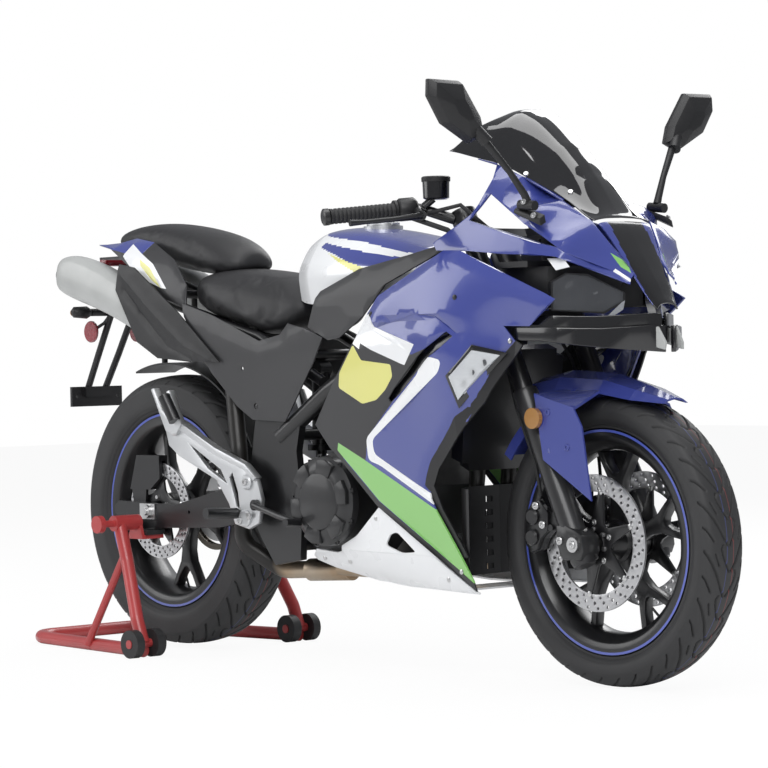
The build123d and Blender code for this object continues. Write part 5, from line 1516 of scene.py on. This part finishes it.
def puffed(obj):
    """Swell a pad with cloth pressure, no point moving further than the limit."""
    modifier(obj, "REMESH", mode="VOXEL", voxel_size=PAD_VOXEL)
    baked(obj, 60)
    obj.data.materials.clear()
    obj.data.materials.append(finish("seat_cover"))
    start = [v.co.copy() for v in obj.data.vertices]
    settings = modifier(obj, "CLOTH").settings
    settings.use_pressure = True
    settings.uniform_pressure_force = PAD_PRESSURE
    settings.effector_weights.gravity = 0
    settings.tension_stiffness = PAD_STIFFNESS
    settings.compression_stiffness = PAD_STIFFNESS
    for number in range(1, PAD_FRAMES + 1):
        bpy.context.scene.frame_set(number)
    baked(obj, 60)
    bpy.context.scene.frame_set(1)
    for vertex, before in zip(obj.data.vertices, start):
        move = vertex.co - before
        if move.length > PAD_LIMIT:
            vertex.co = before + move.normalized() * PAD_LIMIT
    modifier(obj, "SMOOTH", factor=0.5, iterations=3)
    modifier(obj, "SUBSURF", levels=1, render_levels=1)
    baked(obj, 60)


def scattered(name, places, small, body):
    """Copies of a small object at places, each (place, direction), made by Geometry Nodes and then realized."""
    cloud = bpy.data.meshes.new(name + "_places")
    cloud.from_pydata([spot for spot, _ in places], [], [])
    facing = cloud.attributes.new("facing", "FLOAT_VECTOR", "POINT")
    for entry, (_, direction) in zip(facing.data, places):
        entry.vector = direction
    obj = bpy.data.objects.new(name, cloud)
    bpy.context.scene.collection.objects.link(obj)
    tree = bpy.data.node_groups.new(name + "_copies", "GeometryNodeTree")
    tree.interface.new_socket("Places", in_out="INPUT", socket_type="NodeSocketGeometry")
    size_socket = tree.interface.new_socket("Size", in_out="INPUT", socket_type="NodeSocketFloat")
    size_socket.default_value = 1.0
    size_socket.min_value = 0.1
    tree.interface.new_socket("Pieces", in_out="OUTPUT", socket_type="NodeSocketGeometry")
    came, out, source, named, turn, copies, real, paint = (tree.nodes.new(kind) for kind in (
        "NodeGroupInput", "NodeGroupOutput", "GeometryNodeObjectInfo", "GeometryNodeInputNamedAttribute",
        "FunctionNodeAlignEulerToVector", "GeometryNodeInstanceOnPoints", "GeometryNodeRealizeInstances",
        "GeometryNodeSetMaterial"))
    source.inputs["Object"].default_value = small
    named.data_type = "FLOAT_VECTOR"
    named.inputs["Name"].default_value = "facing"
    turn.axis = "Z"
    paint.inputs["Material"].default_value = small.data.materials[0]
    for start, output, end, socket in (
            (named, "Attribute", turn, "Vector"), (came, "Places", copies, "Points"),
            (source, "Geometry", copies, "Instance"), (turn, 0, copies, "Rotation"),
            (came, "Size", copies, "Scale"), (copies, 0, real, 0), (real, 0, paint, "Geometry"),
            (paint, 0, out, "Pieces")):
        tree.links.new(start.outputs[output], end.inputs[socket])
    copier = modifier(obj, "NODES")
    copier.node_group = tree
    copier[size_socket.identifier] = 1.0
    baked(obj, 30)
    bpy.data.objects.remove(small)
    settle(obj, body, ())


def bolt(name, radius, height, entry="bare_steel"):
    """Socket screw that points along Z, to be copied."""
    verts, faces = [], []
    rows = [(radius, 0), (radius, height * 0.8), (radius * 0.88, height), (radius * 0.5, height),
            (radius * 0.46, height * 0.35)]
    count = 12
    for r, z in rows:
        verts += [(r * cos(2 * pi * k / count) / 1000, r * sin(2 * pi * k / count) / 1000, z / 1000)
                  for k in range(count)]
    for row in range(len(rows) - 1):
        for k in range(count):
            j = (k + 1) % count
            faces.append((row * count + k, row * count + j, (row + 1) * count + j, (row + 1) * count + k))
    faces.append(tuple((len(rows) - 1) * count + k for k in range(count)))
    faces.append(tuple(reversed(range(count))))
    return new_piece(name, verts, faces, entry, None)


MIRROR_HEAD = [(406, 1213), (325, 1212), (272, 1140), (262, 1105), (300, 1090), (372, 1127), (408, 1180)]


class MOTORCYCLE_OT_bars(bpy.types.Operator):
    """Mirrors, grips, levers, switch boxes, reservoir and cables"""
    bl_idname = "motorcycle.bars"
    bl_label = "Bars and mirrors"

    def execute(self, context):
        parts = []
        cy = sum(p[0] for p in MIRROR_HEAD) / len(MIRROR_HEAD)
        cz = sum(p[1] for p in MIRROR_HEAD) / len(MIRROR_HEAD)
        glass = []
        for side in (-1, 1):
            rings = []
            for station, share in ((1288, 0.97), (1290, 1.0), (1298, 1.0), (1312, 0.86), (1324, 0.34)):
                rings.append([at(station, side * (cy + (y - cy) * share), cz + (z - cz) * share)
                              for y, z in MIRROR_HEAD])
            parts.append(bevelled(loft(f"mirror_head{side}", rings, "black_plastic", smooth=24), 4, 14, 30,
                                  3))
            rings = [[at(station, side * (cy + (y - cy) * 0.88), cz + (z - cz) * 0.88) for y,
                      z in MIRROR_HEAD]
                     for station in (1287, 1290)]
            glass.append(loft(f"mirror_glass{side}", rings, "mirror_glass", smooth=20))
            for word, spots, radii, sides in (
                    ("stalk", ((1343, 187, 975), (1341, 194, 990), (1330, 222, 1034), (1306, 284, 1112)),
                     [8.5, 7.5, 6.5, 8.5], 16),
                    ("neck", ((1318, 270, 1092), (1306, 290, 1118)), [13, 12], 18),
                    ("pivot", ((1322, 187, 970), (1364, 187, 966)), [10, 10], 20)):
                parts.append(tube(f"mirror_{word}{side}", on_side(side, *spots), radii, "black_plastic",
                                  sides))
            rings = [on_side(side, (1306, y, z), (1384, y, z - 30), (1380, y, z - 14), (1310, y, z + 8))
                     for y, z in ((176, 962), (192, 954))]
            parts.append(bevelled(loft(f"mirror_pad{side}", rings, "black_plastic", smooth=30), 2, 30, 30))
        joined("mirrors_shaped", parts, "chassis", "mirrors")
        joined("mirror_glasses", glass, "chassis", ())
        scattered("mirror_bolts", both_sides(((1343, 197, 974), (1366, 193, 946)), (0.3, 0.9, 0.3)),
                  bolt("mirror_bolt", 6, 4), "chassis")

        grips, boxes = [], []
        for side in (-1, 1):
            inner = at(1010, side * 172, 978)
            outer = at(935, side * 335, 963)
            run = outer - inner
            start = inner + run * 0.30
            rings = 48
            radii = [16.6 if k in (0, rings) else (16.2 if k % 3 else 14.9) for k in range(rings + 1)]
            grips.append(tube(f"grip{side}", [start + run * (0.78 * k / rings) for k in range(rings + 1)],
                              radii,
                              "grip_rubber", 20, 30))
            for word, shares, radii, entry, sides, smooth in (
                    ("bar_end", (1.08, 1.095, 1.15, 1.165), [12, 17.5, 17.5, 13], "black_steel", 24, 50),
                    ("switch", (0.04, 0.07, 0.24, 0.28), [20, 24, 24, 19], "black_plastic", 8, 60),
                    ("collar", (0.28, 0.31), [21, 21], "black_plastic", 24, 50)):
                boxes.append(tube(f"{word}{side}", [inner + run * share for share in shares], radii, entry,
                                  sides,
                                  smooth))
            for word, spots, radii, entry, sides in (
                    ("lever", ((1020, 180, 966), (1050, 205, 960), (1030, 262, 953), (1004, 318, 948),
                               (994, 350, 946)), [8, 7.5, 5.5, 5, 7], "black_steel", 14),
                    ("perch", ((1012, 182, 972), (1046, 200, 960)), [13, 11], "black_steel", 14),
                    ("cable", ((1040, 176, 966), (1110, 150, 980), (1150, 110, 930), (1140, 60, 850)), 4.5,
                     "grip_rubber", 10),
                    ("wiring", ((1014, 200, 958), (1080, 160, 930), (1120, 120, 880), (1130, 70, 830)), 5.5,
                     "grip_rubber", 10)):
                boxes.append(tube(f"{word}{side}", on_side(side, *spots), radii, entry, sides))
        jar = (1044, -156)
        boxes.append(tube("jar", [at(*jar, 994), at(*jar, 997), at(*jar, 1030), at(*jar, 1031)], [22, 27, 28,
                                                                                                  28],
                          "gloss_black", 32))
        boxes.append(tube("jar_lid", [at(*jar, 1031), at(*jar, 1032), at(*jar, 1040), at(*jar, 1042)],
                          [29.5, 30, 30, 27], "black_plastic", 32))
        boxes.append(tube("jar_arm", [at(1044, -164, 996), at(1030, -178, 980)], [8, 8], "black_steel", 12))
        joined("grips_ribbed", grips, "steering", "grips")
        joined("bar_controls_detailed", boxes, "steering", "bar_controls")
        return {"FINISHED"}


BRACKET_PLATE = [(150, 512), (160, 480), (196, 456), (330, 404), (372, 352), (392, 308), (440, 298), (474,
                                                                                                      312),
                 (486, 364), (470, 410), (436, 436), (330, 472), (214, 528), (196, 544), (166, 540)]
BRACKET_HOLES = [[(238, 482), (345, 428), (366, 398), (300, 430)], [(374, 410), (398, 348), (410, 342),
                                                                    (404, 380),
                                                                    (386, 422)]]
BRACKET_RIB = [(196, 520), (206, 534), (330, 478), (436, 442), (474, 412), (464, 404), (430, 430), (326, 462)]
PEG_PLATE = [(110, 608), (122, 610), (148, 562), (160, 552), (170, 562), (166, 602), (178, 606), (200, 556),
             (218, 528), (200, 506), (162, 512), (142, 548)]


class MOTORCYCLE_OT_chassis(bpy.types.Operator):
    """Footrest brackets, clutch cover, lamps at the rear and small fittings"""
    bl_idname = "motorcycle.chassis"
    bl_label = "Chassis fittings"

    def execute(self, context):
        plates = []
        for side, word in SIDES:
            for part, outline, inner, outer, holes, bevel in (
                    ("plate", BRACKET_PLATE, 168, 180, BRACKET_HOLES, 2.2),
                    ("rib", BRACKET_RIB, 166, 186, (), 2.0), ("fork", PEG_PLATE, 172, 190, (), 2.5)):
                plates.append(side_plate(f"rest_{part}_{word}", side, outline, inner, outer, "bare_aluminium",
                                         holes, bevel))
            for u, v, r in ((186, 522, 20), (440, 402, 17), (432, 322, 19)):
                plates.append(button(f"rest_boss_{word}{u}", side, [(188, 0.01), (188, r - 3), (185, r),
                                                                    (166, r),
                                                                    (166, 0.01)], (u, v), "bare_aluminium",
                                     28))
        joined("foot_brackets_cast", plates, "chassis", "foot_brackets")
        scattered("foot_bracket_bolts", both_sides(((440, 188, 402), (420, 188, 316), (452, 188, 328))),
                  bolt("rest_bolt", 8, 4), "chassis")

        rim_radius, spot = 96, (690, 365)  # the clutch cover's rim and its middle
        cover = [lathe("clutch_face", [(-196, 0.01), (-196, 52), (-193, 60), (-190, 62), (-190, 70), (-186,
                                                                                                      84),
                                       (-176, 96), (-160, 97), (-160, 0.01)], spot, "engine_paint", 72, 30)]
        for k in range(6):
            a = radians(60 * k + 15)
            wedge = [(spot[0] + r * cos(a + t), spot[1] + r * sin(a + t))
                     for r, t in ((62, -0.34), (90, -0.30), (93, 0), (90, 0.30), (62, 0.34))]
            cover.append(plate(f"clutch_pad{k}", wedge, -193, -182, "engine_paint", (), 1.6))
        joined("clutch_cover_ribbed", cover, "chassis", "clutch_cover")
        scattered("clutch_bolts", [(at(spot[0] + rim_radius * cos(radians(a)), -172, spot[1] + rim_radius *
                                       sin(radians(a))), (0, -1, 0)) for a in range(15, 375, 40)],
                  bolt("clutch_bolt", 6, 6, "black_steel"), "chassis")

        lamps = []
        for side in (-1, 1):
            lamps.append(tube(f"rear_signal{side}", on_side(side, (-255, 86, 790), (-256, 96, 790),
                                                            (-262, 128, 791),
                                                            (-263, 134, 791)), [9, 15, 13, 6],
                              "black_plastic", 20))
            lamps.append(tube(f"rear_signal_lens{side}", on_side(side, (-262, 98, 790), (-276, 100, 790),
                                                                 (-278, 112, 790), (-266, 126, 790)),
                              [11, 12, 11, 9], "amber_lens", 16))
        lamps.append(box_mesh("tail_lamp", (-262, -50, 900), (-236, 50, 918), "red_lens", 3.0))
        joined("rear_lamps_detailed", lamps, "chassis", "rear_lamps")
        discs = []
        for side in (-1, 1):
            discs.append(button(f"side_reflector{side}", side, [(72, 0.01), (72, 24), (70, 26), (66, 26),
                                                                (66, 0.01)],
                                (-276, 744), "red_lens", 36))
            discs.append(tube(f"reflector_arm{side}", on_side(side, (-276, 68, 744), (-262, 40, 764),
                                                              (-250, 34, 780)), 4, "black_steel", 10))
        joined("side_reflectors", discs, "chassis", ())
        return {"FINISHED"}


DISC_BOLT_CIRCLE = 42
LEG_FOOT = [(1366, 262), (1416, 262), (1424, 280), (1420, 312), (1400, 322), (1376, 330), (1350, 330),
            (1352, 290)]
CALIPER_BODY = [(1250, 372), (1232, 344), (1230, 290), (1246, 270), (1264, 276), (1276, 300), (1296, 316),
                (1298, 352), (1274, 378)]


class MOTORCYCLE_OT_front(bpy.types.Operator):
    """Fork legs, calipers, and the bolts of the fork, fender and discs"""
    bl_idname = "motorcycle.front"
    bl_label = "Fork and brakes"

    def execute(self, context):
        legs, calipers = [], []
        for side in (-1, 1):
            for word, heights, radii, entry, sides, smooth in (
                    ("low", (250, 262, 300, 380, 420, 440, 560, 590, 598), [22, 26, 26, 26, 26, 25, 25, 27.5,
                                                                            26],
                     "fork_grey", 36, 30),
                    ("high", (596, 900), [20.5, 20.5], "black_steel", 32, 50)):
                legs.append(tube(f"leg_{word}{side}", [at(fork_station(z), side * 108, z) for z in heights],
                                 radii,
                                 entry, sides, smooth))
            legs.append(side_plate(f"leg_foot{side}", side, LEG_FOOT, 84, 134, "fork_grey",
                                   [circle(13, 20, FRONT_WHEEL)], 3.0))
            body = side_plate(f"caliper_body{side}", side, CALIPER_BODY, 68, 104, "black_cast", (), 3.5)
            slot_cut(body, side)
            calipers.append(body)
            for u, v in ((1256, 344), (1254, 302)):
                calipers.append(button(f"piston{side}{v}", side, [(112, 0.01), (112, 13), (109, 17),
                                                                  (100, 17),
                                                                  (100, 0.01)], (u, v), "black_cast", 28))
        joined("fork_legs_turned", legs, "steering", "fork_legs")
        joined("front_calipers_cast", calipers, "steering", ())
        scattered("front_bolts", both_sides(((1266, 104, 366), (1284, 104, 328), (1400, 138, 293),
                                             (1362, 134, 300))),
                  bolt("front_bolt", 8.5, 5), "steering")
        scattered("fender_screws", both_sides(((1392, 139.5, 486), (1340, 139.5, 556))),
                  bolt("fender_screw", 7, 3, "blue"), "steering")
        around = [(FRONT_WHEEL[0] + DISC_BOLT_CIRCLE * cos(radians(a)), 74.5,
                   FRONT_WHEEL[1] + DISC_BOLT_CIRCLE * sin(radians(a))) for a in range(18, 378, 72)]
        scattered("disc_bolts", both_sides(around), bolt("disc_bolt", 6, 3), "front_wheel")
        return {"FINISHED"}


def slot_cut(obj, side):
    """Narrow slot for the disc, made by a difference with a flat drum."""
    cutter = button("slot_cutter", side, [(70, 0.01), (70, 144), (78, 144), (78, 0.01)], FRONT_WHEEL,
                    "black_cast",
                    48)
    modifier(obj, "BOOLEAN", operation="DIFFERENCE", object=cutter, solver="EXACT")
    baked(obj, 30)
    bpy.data.objects.remove(cutter)


# The camera, fitted to the photo's wheels and mirrored points
SENSOR_MM = 36
PHOTO_PIXELS = 768
PHOTO_FOCAL_PIXELS = 3091.1
CAMERA_PLACE = (5.077, -4.489, 0.696)
CAMERA_TURN = (138.19, -0.713, -1.231)  # yaw, pitch and roll in degrees


class MOTORCYCLE_OT_stage(bpy.types.Operator):
    """Pale floor, soft studio light and the camera"""
    bl_idname = "motorcycle.stage"
    bl_label = "Stage"

    def execute(self, context):
        scene = context.scene
        scene.view_settings.view_transform = "Standard"
        world = bpy.data.worlds.new("studio")
        scene.world = world
        world.use_nodes = True
        sky = Tree(world.node_tree)
        background = sky.nodes["Background"]
        background.inputs["Color"].default_value = (0.93, 0.95, 1.0, 1)
        background.inputs["Strength"].default_value = 0.36
        white = sky.add("ShaderNodeBackground", {}, {"Color": (1, 1, 1, 1), "Strength": 1.0})
        rays = sky.add("ShaderNodeLightPath", {}, {}, "Is Camera Ray")
        seen = rays.maths("MAXIMUM", Wire(sky, rays.socket.node.outputs["Is Transmission Ray"]))
        mix = sky.add("ShaderNodeMixShader", {}, {0: seen, 1: Wire(sky, background.outputs[0]), 2: white})
        sky.links.new(mix.socket, sky.nodes["World Output"].inputs["Surface"])

        mesh = bpy.data.meshes.new("floor")
        reach = 14.0
        mesh.from_pydata([(-reach, -reach, 0), (reach, -reach, 0), (reach, reach, 0), (-reach, reach, 0)], [],
                         [(0, 1, 2, 3)])
        floor_piece = bpy.data.objects.new("floor", mesh)
        scene.collection.objects.link(floor_piece)
        ground = bpy.data.materials.new("studio_floor")
        ground.use_nodes = True
        paint = Tree(ground.node_tree)
        principled = paint.nodes["Principled BSDF"]
        principled.inputs["Base Color"].default_value = (0.9, 0.9, 0.9, 1)
        principled.inputs["Roughness"].default_value = 0.9
        glow = paint.add("ShaderNodeEmission", {}, {"Color": (1, 1, 1, 1)})
        share = paint.add("ShaderNodeLightPath", {}, {}, "Is Camera Ray") * 0.93
        blend = paint.add("ShaderNodeMixShader", {}, {0: share, 1: Wire(paint, principled.outputs[0]),
                                                      2: glow})
        paint.links.new(blend.socket, paint.nodes["Material Output"].inputs["Surface"])
        mesh.materials.append(ground)

        for word, spot, aim, size, power in (("key", (3.4, -3.6, 3.9), (0, 0, 0.5), 3.2, 190),
                                             ("fill", (-3.8, -3.4, 2.6), (0, 0, 0.5), 3.4, 95),
                                             ("rim", (-1.5, 4.2, 3.6), (0, 0, 0.6), 3.0, 110),
                                             ("top", (0.4, 0.1, 4.6), (0, 0, 0.4), 3.0, 90)):
            lamp = bpy.data.lights.new(word, "AREA")
            lamp.energy = power
            lamp.size = size
            source = bpy.data.objects.new(word, lamp)
            scene.collection.objects.link(source)
            source.location = spot
            source.rotation_euler = (Vector(aim) - Vector(spot)).to_track_quat("-Z", "Y").to_euler()

        yaw, pitch, roll = (radians(angle) for angle in CAMERA_TURN)
        look = Vector((cos(pitch) * cos(yaw), cos(pitch) * sin(yaw), sin(pitch)))
        right = Vector((sin(yaw), -cos(yaw), 0))
        up = right.cross(look)
        turned_right = right * cos(roll) + up * sin(roll)
        turned_up = up * cos(roll) - right * sin(roll)
        lens = bpy.data.cameras.new("photo_camera")
        lens.sensor_width = SENSOR_MM
        lens.lens = PHOTO_FOCAL_PIXELS / PHOTO_PIXELS * SENSOR_MM
        lens.clip_end = 60
        camera = bpy.data.objects.new("photo_camera", lens)
        scene.collection.objects.link(camera)
        camera.matrix_world = Matrix.Translation(CAMERA_PLACE) @ Matrix(
            (turned_right, turned_up, -look)).transposed().to_4x4()
        scene.camera = camera
        return {"FINISHED"}


class MOTORCYCLE_PT_panel(bpy.types.Panel):
    """The motorcycle's sizes and pieces"""
    bl_idname = "MOTORCYCLE_PT_panel"
    bl_label = "Sport motorcycle"
    bl_space_type = "VIEW_3D"
    bl_region_type = "UI"
    bl_category = "Motorcycle"

    def draw(self, context):
        column = self.layout.column()
        for field in MotorcycleSizes.__annotations__:
            column.prop(context.scene.motorcycle, field)
        for piece in PIECES:
            column.operator(piece.bl_idname)


PIECES = (
    MOTORCYCLE_OT_finishes,
    MOTORCYCLE_OT_wheels,
    MOTORCYCLE_OT_fairings,
    MOTORCYCLE_OT_covers,
    MOTORCYCLE_OT_belly,
    MOTORCYCLE_OT_tail,
    MOTORCYCLE_OT_nose,
    MOTORCYCLE_OT_tank,
    MOTORCYCLE_OT_seats,
    MOTORCYCLE_OT_bars,
    MOTORCYCLE_OT_chassis,
    MOTORCYCLE_OT_front,
    MOTORCYCLE_OT_stage,
)


def register():
    """Add the classes and the scene's settings."""
    for entry in (MotorcycleSizes, *PIECES, MOTORCYCLE_PT_panel):
        bpy.utils.register_class(entry)
    bpy.types.Scene.motorcycle = bpy.props.PointerProperty(type=MotorcycleSizes)


def unregister():
    """Take the classes and the settings away again."""
    del bpy.types.Scene.motorcycle
    for entry in reversed((MotorcycleSizes, *PIECES, MOTORCYCLE_PT_panel)):
        bpy.utils.unregister_class(entry)


def main():
    """Build every piece in order."""
    register()
    for piece in PIECES:
        group, name = piece.bl_idname.split(".")
        result = getattr(getattr(bpy.ops, group), name)()
        if result != {"FINISHED"}:
            raise RuntimeError(f"{piece.bl_idname} did not finish")


if __name__ == "__main__":
    main()
